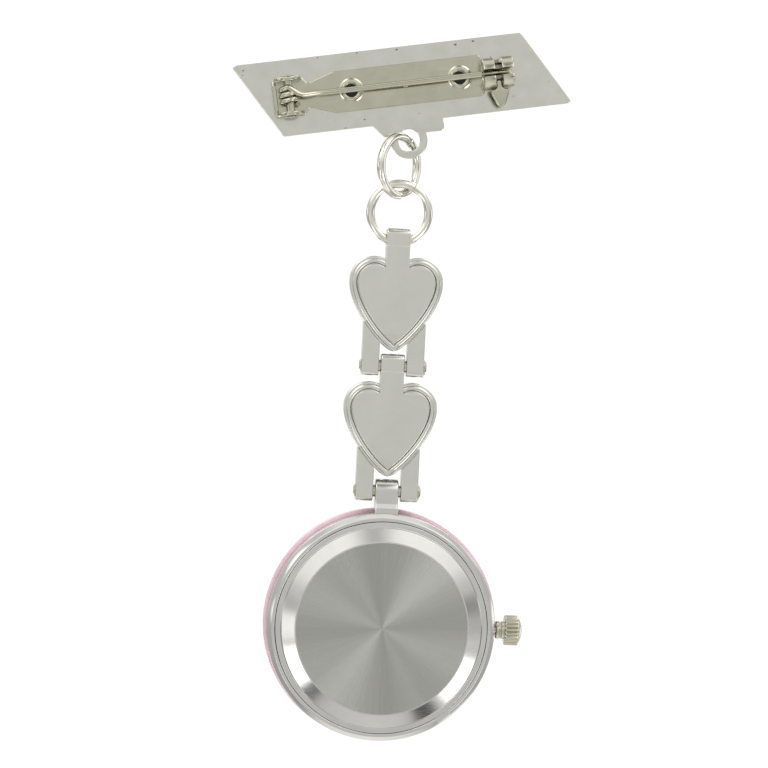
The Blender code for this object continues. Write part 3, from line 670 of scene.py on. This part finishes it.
def wound_wire(name):
    """Lacquered copper wire wound about world X."""
    mat = new_material(name, (0.72, 0.28, 0.13), 0.28, 1.0, Coat_Weight=0.5)
    tree = mat.node_tree
    coordinates = tree.nodes.new("ShaderNodeTexCoord")
    wave = tree.nodes.new("ShaderNodeTexWave")
    wave.bands_direction = "X"
    wave.inputs["Scale"].default_value = 2400.0
    wave.inputs["Distortion"].default_value = 0.6
    tree.links.new(coordinates.outputs["Object"], wave.inputs["Vector"])
    tint(mat, wave.outputs["Fac"], (0.42, 0.13, 0.06), (0.78, 0.33, 0.16), 0.1, 0.8)
    gloss(mat, grain(mat, 2000), 0.2, 0.36)
    relief(mat, [(wave.outputs["Fac"], 18.0)])
    return mat


CHROME = polished_metal("chrome", (0.60, 0.605, 0.565), (0.55, 0.555, 0.52), (0.10, 0.17))
CHROME_BACK = pitted_metal("chrome_satin", (0.60, 0.605, 0.55), (0.54, 0.545, 0.49), (0.12, 0.21), 0.6)
CHROME_PAD = polished_metal("chrome_pad", (0.61, 0.615, 0.565), (0.575, 0.58, 0.53), (0.12, 0.20), 0.5)
NICKEL = polished_metal("nickel", (0.49, 0.477, 0.385), (0.43, 0.418, 0.33), (0.12, 0.20), 0.45)
WIRE_METAL = polished_metal("ring_wire", (0.70, 0.69, 0.625), (0.64, 0.63, 0.565), (0.09, 0.16), 0.3, 1.0)
SUNRAY = sunray_metal("sunray_steel")
CASE_METAL = turned_metal("case_steel", (0.58, 0.575, 0.55), (0.54, 0.54, 0.52), (0.09, 0.15))
PINK = coated_paint("enamel_pink", (0.70, 0.31, 0.40), (0.735, 0.345, 0.435), 0.22, Coat_Weight=0.9,
                    Coat_Roughness=0.05)
PINK_RIM = coated_paint("lacquer_pink", (0.565, 0.385, 0.44), (0.60, 0.42, 0.475), 0.22, 700, 1.2,
                        Coat_Weight=0.7, Coat_Roughness=0.05)
WHITE = coated_paint("dial_lacquer", (0.84, 0.84, 0.82), (0.88, 0.88, 0.87), 0.35, 1400, 0.8)
INK = coated_paint("print_black", (0.012, 0.012, 0.014), (0.022, 0.022, 0.024), 0.35, 1600, 0.8)
HAND_BLACK = coated_paint("hand_lacquer", (0.012, 0.012, 0.014), (0.02, 0.02, 0.022), 0.22, 1200, 0.8,
                          Coat_Weight=0.5, Coat_Roughness=0.08)
RED = coated_paint("hand_red", (0.52, 0.02, 0.025), (0.60, 0.035, 0.035), 0.25, 1200, 0.8, Coat_Weight=0.5,
                   Coat_Roughness=0.08)
GLASS = new_material("mineral_glass", (0.97, 0.985, 0.98), 0.015, 0.0, Transmission_Weight=1.0, IOR=1.48)
relief(GLASS, [(grain(GLASS, 130, detail=1.0), 0.4)])
gloss(GLASS, grain(GLASS, 900, detail=3.0), 0.008, 0.03)
CLEAR_SEAL = moulded("clear_seal", (0.80, 0.82, 0.80), (0.86, 0.87, 0.85), 0.3, Transmission_Weight=0.5)
RUBBER = moulded("seal_rubber", (0.018, 0.018, 0.018), (0.03, 0.03, 0.03), 0.6)
BRASS = polished_metal("brass", (0.78, 0.58, 0.27), (0.70, 0.50, 0.22), (0.22, 0.34), 0.8)
STEEL = polished_metal("steel", (0.56, 0.56, 0.57), (0.50, 0.50, 0.51), (0.2, 0.32), 0.8)
COPPER = wound_wire("copper_winding")
BOARD = circuit("board_green")
HOLDER = moulded("holder_resin", (0.72, 0.72, 0.68), (0.78, 0.78, 0.75), 0.42)

# Painted shade: a darkened copy of the nickel, for the recessed middle sleeve of the safety catch.
SHADED = polished_metal("nickel_painted_shade", (0.30, 0.28, 0.23), (0.20, 0.19, 0.15), (0.3, 0.45), 0.8)
# Painted shade: a near-black material for the disc at the floor of each rivet hole in the plate, standing in
# for the dark inside of the hole.
HOLE_SHADE_BLACK = moulded("painted_hole_shade", (0.012, 0.011, 0.010), (0.03, 0.028, 0.024), 0.55)

SLOT_LOOKS = {
    "polished_chrome": CHROME, "nickel_plate": NICKEL, "pink_enamel": PINK, "brushed_back": SUNRAY,
    "dial_white": WHITE, "hand_black": HAND_BLACK, "seconds_red": RED, "crystal_glass": GLASS,
    "gasket_clear": CLEAR_SEAL, "rubber_seal": RUBBER, "brass_movement": BRASS, "steel_part": STEEL,
    "copper_wire": COPPER, "circuit_green": BOARD, "holder_plastic": HOLDER,
}


# ---------------------------------------------------------------- brooch


def slanted(inset, radius, steps=6):
    top = PLATE_HEIGHT / 2 - inset
    slant = PLATE_SHEAR / PLATE_HEIGHT * top
    half = PLATE_LENGTH / 2 - inset * hypot(PLATE_SHEAR, PLATE_HEIGHT) / PLATE_HEIGHT
    corners = [(-half - slant, top), (half - slant, top), (half + slant, -top), (-half + slant, -top)]
    return rounded(corners, radius, steps)


def plate_outline():
    bottom = -PLATE_HEIGHT / 2
    strip = bottom - 1.5
    reach = degrees(asin((EAR_DROP + strip) / EAR_RADIUS))
    ear = arc(0, -EAR_DROP, EAR_RADIUS, reach, -180 - reach, 44)
    hanging = [(4.45, bottom), (4.45, strip + 0.4), (4.33, strip + 0.12), (4.05, strip)] + ear
    hanging += [(-2.9, strip), (-3.2, strip + 0.3), (-4.2, bottom)]
    corners = slanted(0, 0.45)
    last = 3 * len(corners) // 4
    return corners[:last] + hanging + corners[last:]


def make_plate():
    front = -PLATE_THICKNESS
    dimples = [(circle(0.8, 32, u), 1, -0.3) for u in RIVET_HOLES_U]
    plate = Shape().add(slab(
        plate_outline(), front, 0, 0.11,
        holes=[circle(EAR_HOLE_RADIUS, 56, 0, -EAR_DROP)],
        pockets=[(slanted(0.75, 0.3), -1, front + 0.35)] + dimples,
    ))
    # Each rivet hole gets a near-black disc at its floor: painted shade for the dark inside of the hole.
    for u in RIVET_HOLES_U:
        plate.add(lathe([(0, -0.28), (0.79, -0.28), (0.79, -0.36), (0, -0.36)], 0, 40), at(u), 1)
    piece("brooch_plate_chrome", plate, BROOCH, [CHROME_BACK, HOLE_SHADE_BLACK], "brooch",
          ["brooch_plate"])
    enamel = Shape().add(slab(slanted(0.80, 0.3), front - 0.05, front + 0.32, 0.16, steps=6))
    piece("brooch_enamel_fill", enamel, BROOCH, [PINK], "brooch", ["brooch_enamel"])


def catch_outline(inner, outer, slot, steps):
    """A ring in section with a slot towards +x, seen along the tube."""
    outside = degrees(asin(slot / 2 / outer))
    inside = degrees(asin(slot / 2 / inner)) if slot / 2 < inner else 89
    outline = arc(0, 0, outer, outside, 360 - outside, steps)
    return outline + arc(0, 0, inner, 360 - inside, inside, steps)


def section(u):
    """Puts a flat outline across the stem's axis, with its x towards the back and its y up."""
    return at(u, 0, STEM_LIFT) @ Matrix(((0, 0, 1, 0), (0, 1, 0, 0), (1, 0, 0, 0), (0, 0, 0, 1)))


def make_bar():
    low, high = CATCH_U - CATCH_LENGTH / 2, CATCH_U + CATCH_LENGTH / 2
    half = 2.5
    outline = [(-11.5, 1.45), (-8.3, half), (low, half), (low + 0.4, 1.5), (high - 0.2, 1.5),
               (high - 0.2, -1.5), (low + 0.4, -1.5), (low, -half), (-8.3, -half), (-11.5, -1.45),
               (-12.2, -2.35), (-15.85, -2.35), (-15.85, 2.35), (-12.2, 2.35)]
    bar = Shape()
    bar.add(slab(rounded(outline, 0.5), BAR_LOW, BAR_HIGH, 0.13,
                 holes=[circle(0.9, 48, u) for u in RIVET_HOLES_U],
                 pockets=[(circle(0.28, 24, 0.3), 1, BAR_HIGH - 0.16)]))
    flange = [(0.86, BAR_LOW + 0.1), (0.86, 0.80), (0.98, 0.88), (1.12, 0.88), (1.25, 0.76), (1.29, 0.62),
              (1.50, 0.545), (1.55, 0.50), (1.3, 0.3), (1.2, BAR_LOW + 0.1)]
    for u in RIVET_HOLES_U:
        bar.add(lathe(flange, 0.08, 64), at(u))
    cheek = [(-15.6, BAR_LOW + 0.1), (-12.3, BAR_LOW + 0.1), (-12.3, 2.3)]
    cheek += arc(HINGE_U, 2.3, 1.55, 12, 168, 24)
    cheek.append((-15.6, 2.3))
    for v in (-2.07, 2.07):
        bar.add(slab(cheek, -0.24, 0.24, 0.11), at(0, v) @ Matrix.Rotation(radians(90), 4, "X"))
    foot = BAR_LOW + 0.15
    wall = rounded([(-2.1, foot), (2.1, foot), (2.1, 1.5), (1.5, 1.7), (-1.5, 1.7), (-2.1, 1.5)], 0.2)
    upright = Matrix(((0, 0, 1, 0), (1, 0, 0, 0), (0, 1, 0, 0), (0, 0, 0, 1)))
    bar.add(slab(wall, -0.22, 0.22, 0.1), at(-15.62) @ upright)
    shell = catch_outline(1.35, 1.85, 0.86, 44)
    gap = 0.42
    bar.add(slab(shell, low - CATCH_U, -gap, 0.11), section(CATCH_U))
    bar.add(slab(shell, gap, high - CATCH_U, 0.11), section(CATCH_U))
    saddle = arc(0, 0, 1.80, 116, 244, 20) + arc(0, 0, 1.37, 244, 116, 20)
    bar.add(slab(saddle, low - CATCH_U + 0.3, high - CATCH_U - 0.3, 0.04), section(CATCH_U))
    piece("pin_bar_nickel", bar, BROOCH, [NICKEL], "brooch", ["pin_bar"])


def make_rivet():
    half = 2.62
    profile = [(0, half), (0.45, half), (0.8, half - 0.10), (0.8, half - 0.22), (0.5, half - 0.22),
               (0.5, 0.22 - half), (0.8, 0.22 - half), (0.8, 0.10 - half), (0.45, -half), (0, -half)]
    rivet = Shape().add(lathe(profile, 0.07, 48), along_y(HINGE_U, 0, STEM_LIFT))
    piece("hinge_rivet_nickel", rivet, BROOCH, [NICKEL], "brooch", ["hinge_rivet"])


def smooth_path(points, per_span):
    """A curve through the points, with the same number of steps in each span."""
    points = [Vector(point) for point in points]
    path = []
    for i in range(len(points) - 1):
        before = points[max(i - 1, 0)]
        one, two = points[i], points[i + 1]
        after = points[min(i + 2, len(points) - 1)]
        for k in range(per_span):
            t = k / per_span
            path.append(0.5 * (2 * one + (two - before) * t + (2 * before - 5 * one + 4 * two - after) * t * t
                               + (3 * one - 3 * two + after - before) * t ** 3))
    path.append(points[-1])
    return path


def make_stem():
    top = STEM_LIFT + COIL_RADIUS
    tip = CATCH_U + 1.2
    straight = [(tip, 0, STEM_LIFT), (tip - 2.4, 0, STEM_LIFT), (3.0, 0, STEM_LIFT), (-5.0, 0, STEM_LIFT),
                (-8.4, 0.01, STEM_LIFT + 0.12), (-10.6, 0.02, STEM_LIFT + 0.34), (-12.6, 0.06, top - 0.08)]
    turns, per_turn = 2.75, 14
    for i in range(int(turns * per_turn) + 1):
        angle = pi / 2 + 2 * pi * i / per_turn
        v = 1.05 - COIL_PITCH * i / per_turn
        straight.append((HINGE_U + COIL_RADIUS * cos(angle), v, STEM_LIFT + COIL_RADIUS * sin(angle)))
    stem = Shape().add(wire(smooth_path(straight, 5), STEM_RADIUS, 22, point_start=1.6))
    piece("pin_stem_wire", stem, BROOCH, [NICKEL], "pin_stem", ["pin_stem"])


def make_catch():
    half = CATCH_LENGTH / 2 - 0.1
    catch = Shape()
    for low, high in ((-half, -0.46), (0.46, half)):
        catch.add(slab(catch_outline(0.42, 1.3, 0.80, 40), low, high, 0.09), section(CATCH_U))
    # The middle sleeve between the catch's two halves takes the darkened nickel: painted shade.
    catch.add(slab(catch_outline(0.44, 0.92, 0.80, 40), -0.6, 0.6, 0.05), section(CATCH_U), 1)
    side = [(0.38, -0.9), (0.38, -1.97), (1.15, -2.0), (1.1, -2.5), (0.6, -3.7), (0.3, -4.15)]
    thumb = rounded(side + [(-u, v) for u, v in reversed(side)], 0.35)
    catch.add(slab(thumb, -0.3, 0.3, 0.2, steps=5), at(CATCH_U, 0, STEM_LIFT))
    piece("safety_catch_nickel", catch, BROOCH, [NICKEL, SHADED], "safety_catch",
          ["catch_roller"])


# ---------------------------------------------------------------- chain


def make_ring(name, centre, radius, across, body, node):
    path = []
    for i in range(181):
        angle = radians(62.2 + 357.6 * i / 180)
        path.append(centre + radius * (cos(angle) * across + sin(angle) * Vector((0, 0, 1))))
    made = Shape().add(wire(path, WIRE_RADIUS, 28, flat=0.07))
    piece(name, made, WORLD, [WIRE_METAL], body, [node])


def pad_outline():
    """The raised pad of a link: a smaller heart that runs up into the tab."""
    half = [point for point in heart(1.0) if point[0] > 0 or point[1] < HEART_TOP - 8]
    half = [point for point in half if point[0] > 1.43 or point[1] < HEART_TOP - 6]
    right = [point for point in half if point[0] >= 0]
    right = [(1.43, -0.6), (1.43, right[0][1] - 0.02)] + right
    return right + [(-x, y) for x, y in reversed(right) if x > 0]


def make_link(which, place, body):
    depth = LINK_HALF_DEPTH
    link = Shape()
    link.add(slab(heart(0), -depth, 0.58, 0.16, pockets=[(heart(0.9), -1, -depth + 0.4)], steps=5))
    link.add(slab(heart(0.30), 0.2, 0.96, 0.26, holes=[heart(0.92)], steps=5))
    link.add(slab(pad_outline(), 0.2, depth, 0.07))
    side = depth - 0.01 - TAB_CORNER
    knuckle = arc(side, 0.8, TAB_CORNER, 0, 90, 12) + arc(-side, 0.8, TAB_CORNER, 90, 180, 12)
    knuckle += [(-depth + 0.01, HEART_TOP - 2.0), (depth - 0.01, HEART_TOP - 2.0)]
    link.add(slab(knuckle, -1.45, 1.45, 0.16, holes=[circle(KNUCKLE_BORE, 40)], steps=5), SIDEWAYS)
    end = -LINK_PITCH
    side, foot = depth - LEG_CORNER, end - depth + LEG_CORNER
    front = side - 0.02
    shape = arc(-front, foot, LEG_CORNER, 180, 270, 12) + arc(side, foot, LEG_CORNER, 270, 360, 12)
    shape += [(depth, end + 5.5), (-front - LEG_CORNER, end + 5.5)]
    inner, outer = LEG_SPAN / 2 - LEG_WIDTH, LEG_SPAN / 2
    room = slab(heart(-0.10), 0.42, depth + 1, 0.05)
    for low, high in ((inner, outer), (-outer, -inner)):
        points, faces = slab(shape, low, high, 0.13, holes=[circle(PIN_RADIUS + 0.03, 40, 0, end)])
        leg = [tuple(SIDEWAYS @ Vector(point)) for point in points], faces
        link.add(carve(leg, [room]))
    piece(f"{which}_heart_chrome", link, place, [CHROME_PAD], body,
          [f"{which}_heart_link"])
    enamel = Shape().add(slab(heart(0.95), -depth - 0.1, -depth + 0.37, 0.2, steps=6))
    piece(f"{which}_heart_fill", enamel, place, [PINK], body, [f"{which}_heart_enamel"])
    half = LEG_SPAN / 2
    profile = [(0, half + 0.40), (0.35, half + 0.39), (0.7, half + 0.33), (0.93, half + 0.16),
               (0.95, half + 0.03), (PIN_RADIUS, half + 0.03), (PIN_RADIUS, -half - 0.12),
               (0.6, -half - 0.25), (0, -half - 0.25)]
    pin = Shape().add(lathe(profile, 0.05, 48), along_x(0, end, 0))
    piece(f"{which}_pin_nickel", pin, place, [NICKEL], body, [f"{which}_link_pin"])


# ---------------------------------------------------------------- watch case


def make_case():
    profile = [(13.35, 2.75), (CASE_RADIUS, 2.2), (CASE_RADIUS, -0.75), (12.9, -0.75), (12.9, -1.5),
               (12.2, -1.5), (12.2, 1.45), (12.95, 1.45), (12.95, 2.75)]
    seat = lathe([(0, 2.7), (1.95, 2.7), (1.95, 0), (0, 0)], 0, 64)
    seat = [tuple(along_x(13.3, 0, CROWN_Z + 0.2) @ Vector(point)) for point in seat[0]], seat[1]
    turn = Matrix.Rotation(radians(-53), 4, "Z")
    notch = slab(rounded([(-0.6, -0.9), (0.9, -0.9), (0.9, 0.9), (-0.6, 0.9)], 0.35), -0.3, 0.6, 0.05)
    notch = [tuple(turn @ at(13.2, 0, 2.9) @ Vector(point)) for point in notch[0]], notch[1]
    case = Shape().add(carve(lathe(profile, 0.1, 180), [seat, notch]))
    clear = 14.5
    shape = arc(0, WATCH_DROP + 0.1, 1.4, 0, 180, 36) + [(-1.4, clear + 0.4), (-0.7, clear), (-0.7, 13.3)]
    shape += [(1.9, 13.3), (1.9, clear), (1.4, clear + 0.5)]
    case.add(slab(shape, -1.4, 1.4, 0.16, holes=[circle(KNUCKLE_BORE, 40, 0, WATCH_DROP)], steps=5), SIDEWAYS)
    piece("case_band_steel", case, HEAD, [CASE_METAL], "watch_head", ["case_middle"])


def make_case_back():
    profile = [(0, 3.6), (10.45, 3.6), (10.6, 3.575), (12.15, 3.02), (12.3, 2.8), (12.9, 2.8), (12.9, 1.8),
               (12.45, 1.8), (12.3, 2.45), (11.2, 2.75), (10.0, 3.05), (0, 3.05)]

    def look(middle):
        return 1 if hypot(middle.x, middle.y) < 10.44 and middle.z > 3.4 else 0

    back = Shape()
    made = lathe(profile, 0.06, 180)
    back.add(made, look=look)
    piece("case_back_steel", back, HEAD, [CASE_METAL, SUNRAY], "watch_head", ["case_back"])


def make_bezel():
    profile = [(12.93, -0.78), (14.0, -0.78), (14.3, -1.15), (14.3, -2.2), (13.9, -3.05), (12.9, -3.6),
               (12.2, -3.6), (12.12, -3.5), (12.12, -2.3), (11.35, -2.3), (11.35, -1.55), (12.93, -1.55)]
    bezel = Shape().add(lathe(profile, 0.35, 180, 6))
    piece("bezel_pink", bezel, HEAD, [PINK_RIM], "watch_head", ["bezel"])
    dome = [(0, -2.33), (11.75, -2.33), (11.75, -3.40), (11.5, -3.62)]
    dome += [(11.5 * cos(radians(a)), -3.62 - 0.18 * sin(radians(a))) for a in range(10, 90, 10)]
    dome.append((0, -3.8))
    crystal = Shape().add(lathe(dome, 0.05, 144))
    piece("crystal_glass_dome", crystal, HEAD, [GLASS], "watch_head", ["crystal"])


def make_dial():
    """A white dial with plain figures and a minute track; its 12 lies lowest when the watch hangs."""
    dial = Shape().add(lathe([(0.95, DIAL_FRONT), (11.9, DIAL_FRONT), (11.9, DIAL_FRONT + 0.3),
                              (0.95, DIAL_FRONT + 0.3)], 0.03, 144))
    face = at(0, 0, DIAL_FRONT - 0.01) @ Matrix.Rotation(pi, 4, "X")
    for minute in range(60):
        turn = Matrix.Rotation(-2 * pi * minute / 60, 4, "Z")
        wide, low = (0.16, 10.15) if minute % 5 == 0 else (0.055, 10.55)
        mark = [(-wide, low), (wide, low), (wide, 11.15), (-wide, 11.15)]
        dial.add(slab(mark, -0.006, 0.012, 0.002, steps=1), face @ turn, 1)
    for hour in range(1, 13):
        angle = 2 * pi * hour / 12
        spot = at(8.35 * sin(angle), 8.35 * cos(angle) - 0.05)
        dial.add(lettering(str(hour), 2.75, 0.03), face @ spot, 1)
        inner = at(5.6 * sin(angle), 5.6 * cos(angle) - 0.03)
        dial.add(lettering(str(hour + 12), 1.15, 0.03), face @ inner, 2)
    piece("dial_printed", dial, HEAD, [WHITE, INK, RED], "watch_head", ["dial"])


def make_hand(name, length, tail, width, hub, depth, angle, look, body, node):
    if width > 0.2:
        outline = [(width * 0.55, hub * 0.6), (width, length * 0.62), (0.04, length), (-0.04, length),
                   (-width, length * 0.62), (-width * 0.55, hub * 0.6), (-width * 0.8, -tail),
                   (width * 0.8, -tail)]
        blade = slab(rounded(outline, 0.12), -0.05, 0.05, 0.03)
    else:
        outline = [(width, 0), (width * 0.6, length), (-width * 0.6, length), (-width, 0),
                   (-width * 2.2, -tail), (width * 2.2, -tail)]
        blade = slab(rounded(outline, 0.05), -0.05, 0.05, 0.02)
    turn = Matrix.Rotation(radians(angle + 180), 4, "Z")
    hand = Shape().add(blade, at(0, 0, depth + 0.05) @ turn)
    cap = [(0, depth - 0.02), (hub - 0.08, depth - 0.02), (hub, depth + 0.02), (hub, depth + 0.12),
           (0, depth + 0.12)]
    hand.add(lathe(cap, 0.03, 48))
    piece(name, hand, HEAD, [look], body, [node])


def make_crown():
    """A crown with fine rounded flutes about local x and a domed end."""
    sections = []
    outline = [(15.25, -0.30, 0.05), (15.28, -0.12, 0.10), (15.36, -0.02, 0.17), (15.5, 0, 0.19),
               (16.75, 0, 0.19), (16.86, -0.02, 0.17), (16.95, -0.10, 0.10), (17.0, -0.20, 0.05),
               (17.04, -0.32, 0.01), (17.16, -0.55, 0), (17.28, -0.85, 0), (17.38, -1.2, 0),
               (17.44, -1.55, 0), (17.45, -1.80, 0)]
    count = CROWN_RIBS * 12
    for x, smaller, groove in outline:
        section_points = []
        for i in range(count):
            angle = 2 * pi * i / count
            dip = (0.5 - 0.5 * cos(CROWN_RIBS * angle)) ** 1.6
            radius = CROWN_RADIUS + smaller - groove * dip
            section_points.append((x, radius * cos(angle), CROWN_Z + radius * sin(angle)))
        sections.append(section_points)
    crown = Shape().add(loft(sections))
    neck = [(0, 14.2), (1.0, 14.2), (1.08, 14.28), (1.08, 14.62), (0.99, 14.70), (0.99, 14.82), (1.08, 14.90),
            (1.08, 15.35), (0, 15.35)]
    crown.add(lathe(neck, 0.05, 64), along_x(0, 0, CROWN_Z))
    piece("crown_fluted", crown, HEAD, [NICKEL], "crown", ["crown"])


# ---------------------------------------------------------------- light, floor and camera


def lobe(tree, total, toward, direction, inner, outer, amount):
    """Adds a soft round light, or with a negative amount a dark flag, to the studio's brightness."""
    dot = tree.nodes.new("ShaderNodeVectorMath")
    dot.operation = "DOT_PRODUCT"
    dot.inputs[1].default_value = Vector(direction).normalized()
    tree.links.new(toward, dot.inputs[0])
    fade = tree.nodes.new("ShaderNodeMapRange")
    fade.interpolation_type = "SMOOTHSTEP"
    fade.inputs["From Min"].default_value = cos(radians(outer))
    fade.inputs["From Max"].default_value = cos(radians(inner))
    fade.inputs["To Min"].default_value = 0.0
    fade.inputs["To Max"].default_value = amount
    tree.links.new(dot.outputs["Value"], fade.inputs["Value"])
    add = tree.nodes.new("ShaderNodeMath")
    add.operation = "ADD"
    tree.links.new(total, add.inputs[0])
    tree.links.new(fade.outputs["Result"], add.inputs[1])
    return add.outputs["Value"]


STUDIO = 1.0
BACK_LOBES = [
    ((0, 1, 0), 20, 45, 0.02),
    ((0.42, 0.74, 0.50), 11, 25, 0.50), ((-0.40, 0.75, 0.52), 11, 24, 0.50),
    ((0.44, 0.55, 0.71), 8, 18, 1.5), ((-0.44, 0.55, 0.71), 8, 18, 1.5),
    ((0.02, 0.76, 0.65), 5, 13, -0.30), ((0.0, 0.50, 0.86), 8, 17, -0.60),
    ((0.53, 0.74, -0.42), 6, 10, 2.3), ((-0.54, 0.74, -0.42), 8, 12, 2.8),
    ((0.42, 0.68, -0.60), 2, 6, -0.55), ((-0.37, 0.66, -0.65), 2, 6, -0.6),
    ((-0.62, 0.78, 0.03), 3, 8, -0.75),
    ((-0.63, 0.76, -0.20), 3, 6, 1.2), ((0.635, 0.77, -0.14), 4, 8, 0.8), ((0.64, 0.77, 0.04), 2, 5, -0.35),
    ((0.87, 0.47, -0.10), 9, 18, -0.40), ((-0.87, 0.47, -0.10), 9, 18, -0.40),
    ((0.62, 0.40, -0.67), 8, 16, 1.0), ((-0.62, 0.40, -0.67), 8, 16, 1.0),
    ((0, 0.68, -0.73), 10, 22, 0.20), ((-0.62, 0.35, 0.70), 10, 18, 0.8), ((0.80, 0.30, 0.52), 8, 15, 1.2),
    ((0.97, 0.22, 0.0), 5, 10, 1.1), ((-0.97, 0.22, 0.05), 5, 10, 1.0), ((0, 0.15, -0.99), 14, 38, 0.40),
]
LOBES = [((0, 0, 1), 20, 38, 0.35), ((-0.32, -0.88, 0.35), 4, 8, 4.5)] + BACK_LOBES
LOBES += [((-x, -y, z), inner, outer, amount) for (x, y, z), inner, outer, amount in BACK_LOBES]


def side_band(tree, total, depth):
    """Darkens the sides, top and bottom of the studio, which draws a dark line along each polished edge."""
    flat = tree.nodes.new("ShaderNodeMath")
    flat.operation = "ABSOLUTE"
    tree.links.new(depth, flat.inputs[0])
    fade = tree.nodes.new("ShaderNodeMapRange")
    fade.interpolation_type = "SMOOTHSTEP"
    fade.inputs["From Min"].default_value = 0.05
    fade.inputs["From Max"].default_value = 0.42
    fade.inputs["To Min"].default_value = -0.15
    fade.inputs["To Max"].default_value = 0.0
    tree.links.new(flat.outputs["Value"], fade.inputs["Value"])
    add = tree.nodes.new("ShaderNodeMath")
    add.operation = "ADD"
    tree.links.new(total, add.inputs[0])
    tree.links.new(fade.outputs["Result"], add.inputs[1])
    return add.outputs["Value"]


def make_light():
    """An even studio with soft lamps and dark flags all round; the backdrop itself is white."""
    world = bpy.data.worlds.new("studio")
    bpy.context.scene.world = world
    bpy.context.scene.view_settings.view_transform = "Standard"
    world.use_nodes = True
    tree = world.node_tree
    tree.nodes.clear()
    toward = tree.nodes.new("ShaderNodeTexCoord").outputs["Generated"]
    split = tree.nodes.new("ShaderNodeSeparateXYZ")
    tree.links.new(toward, split.inputs["Vector"])
    height = tree.nodes.new("ShaderNodeMapRange")
    height.inputs["From Min"].default_value = -0.9
    height.inputs["From Max"].default_value = 0.7
    height.inputs["To Min"].default_value = 0.64
    height.inputs["To Max"].default_value = 1.02
    tree.links.new(split.outputs["Z"], height.inputs["Value"])
    total = side_band(tree, height.outputs["Result"], split.outputs["Y"])
    for direction, inner, outer, amount in LOBES:
        total = lobe(tree, total, toward, direction, inner, outer, amount)
    floor = tree.nodes.new("ShaderNodeMath")
    floor.operation = "MAXIMUM"
    floor.inputs[1].default_value = 0.02
    tree.links.new(total, floor.inputs[0])
    strength = tree.nodes.new("ShaderNodeMath")
    strength.operation = "MULTIPLY"
    strength.inputs[1].default_value = STUDIO
    tree.links.new(floor.outputs["Value"], strength.inputs[0])
    room = tree.nodes.new("ShaderNodeBackground")
    room.inputs["Color"].default_value = (1.0, 0.995, 0.985, 1.0)
    tree.links.new(strength.outputs["Value"], room.inputs["Strength"])
    backdrop = tree.nodes.new("ShaderNodeBackground")
    backdrop.inputs["Strength"].default_value = 1.05
    backdrop.inputs["Color"].default_value = (1, 1, 1, 1)
    path = tree.nodes.new("ShaderNodeLightPath")
    mix = tree.nodes.new("ShaderNodeMixShader")
    tree.links.new(path.outputs["Is Camera Ray"], mix.inputs["Fac"])
    tree.links.new(room.outputs["Background"], mix.inputs[1])
    tree.links.new(backdrop.outputs["Background"], mix.inputs[2])
    out = tree.nodes.new("ShaderNodeOutputWorld")
    tree.links.new(mix.outputs["Shader"], out.inputs["Surface"])


def make_floor():
    bpy.ops.mesh.primitive_circle_add(vertices=128, radius=1.2, fill_type="NGON", location=(0, 0, -0.33))
    floor = bpy.context.object
    floor.name = "floor"
    floor.visible_glossy = False
    paper = new_material("floor_paper", (0.86, 0.86, 0.855), 0.7)
    tint(paper, grain(paper, 60, detail=3.0), (0.85, 0.85, 0.845), (0.88, 0.88, 0.875))
    floor.data.materials.append(paper)


def make_camera():
    data = bpy.data.cameras.new("camera")
    data.lens = 125.8
    data.sensor_width = 36
    data.clip_start = 0.01
    data.clip_end = 20
    camera = bpy.data.objects.new("camera", data)
    turn = Matrix(((-0.9983, 0.0461, 0.0348), (0.0328, -0.0432, 0.9985), (0.0476, 0.9980, 0.0416)))
    placed = Matrix.LocRotScale(Vector((11.94, 327.31, -22.88)) * MM, turn.to_quaternion(), None)
    camera.matrix_world = Matrix.Rotation(radians(-2.2), 4, "Z") @ placed
    bpy.context.scene.collection.objects.link(camera)
    bpy.context.scene.camera = camera


# ---------------------------------------------------------------- assembly


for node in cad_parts.values():
    slot_name = node.data.materials[0].name
    node.data.materials.clear()
    node.data.materials.append(SLOT_LOOKS[slot_name])

make_plate()
make_bar()
make_rivet()
make_stem()
make_catch()
across = Vector((-cos(UPPER_RING_TURN), -sin(UPPER_RING_TURN), 0))
make_ring("upper_ring_wire", Vector((0, 0.8, -9.9)), RING_RADIUS[0], across, "upper_ring", "upper_jump_ring")
make_ring("lower_ring_wire", Vector((CHAIN_X, CHAIN_Y, -15.6)), RING_RADIUS[1], Vector((-1, 0, 0)),
          "lower_ring", "lower_jump_ring")
make_link("upper", UPPER_LINK, "upper_link")
make_link("lower", LOWER_LINK, "lower_link")
make_case()
make_case_back()
make_bezel()
make_dial()
make_hand("hour_hand_black", 6.2, 1.6, 0.55, 1.05, -1.78, 55.7, HAND_BLACK, "hours",
          "hour_hand")
make_hand("minute_hand_black", 9.2, 2.0, 0.42, 0.85, -2.0, -52, HAND_BLACK, "minutes",
          "minute_hand")
make_hand("seconds_hand_red", 10.2, 3.0, 0.14, 0.55, -2.2, 150, RED, "seconds", "seconds_hand")
make_crown()
make_light()
make_floor()
make_camera()
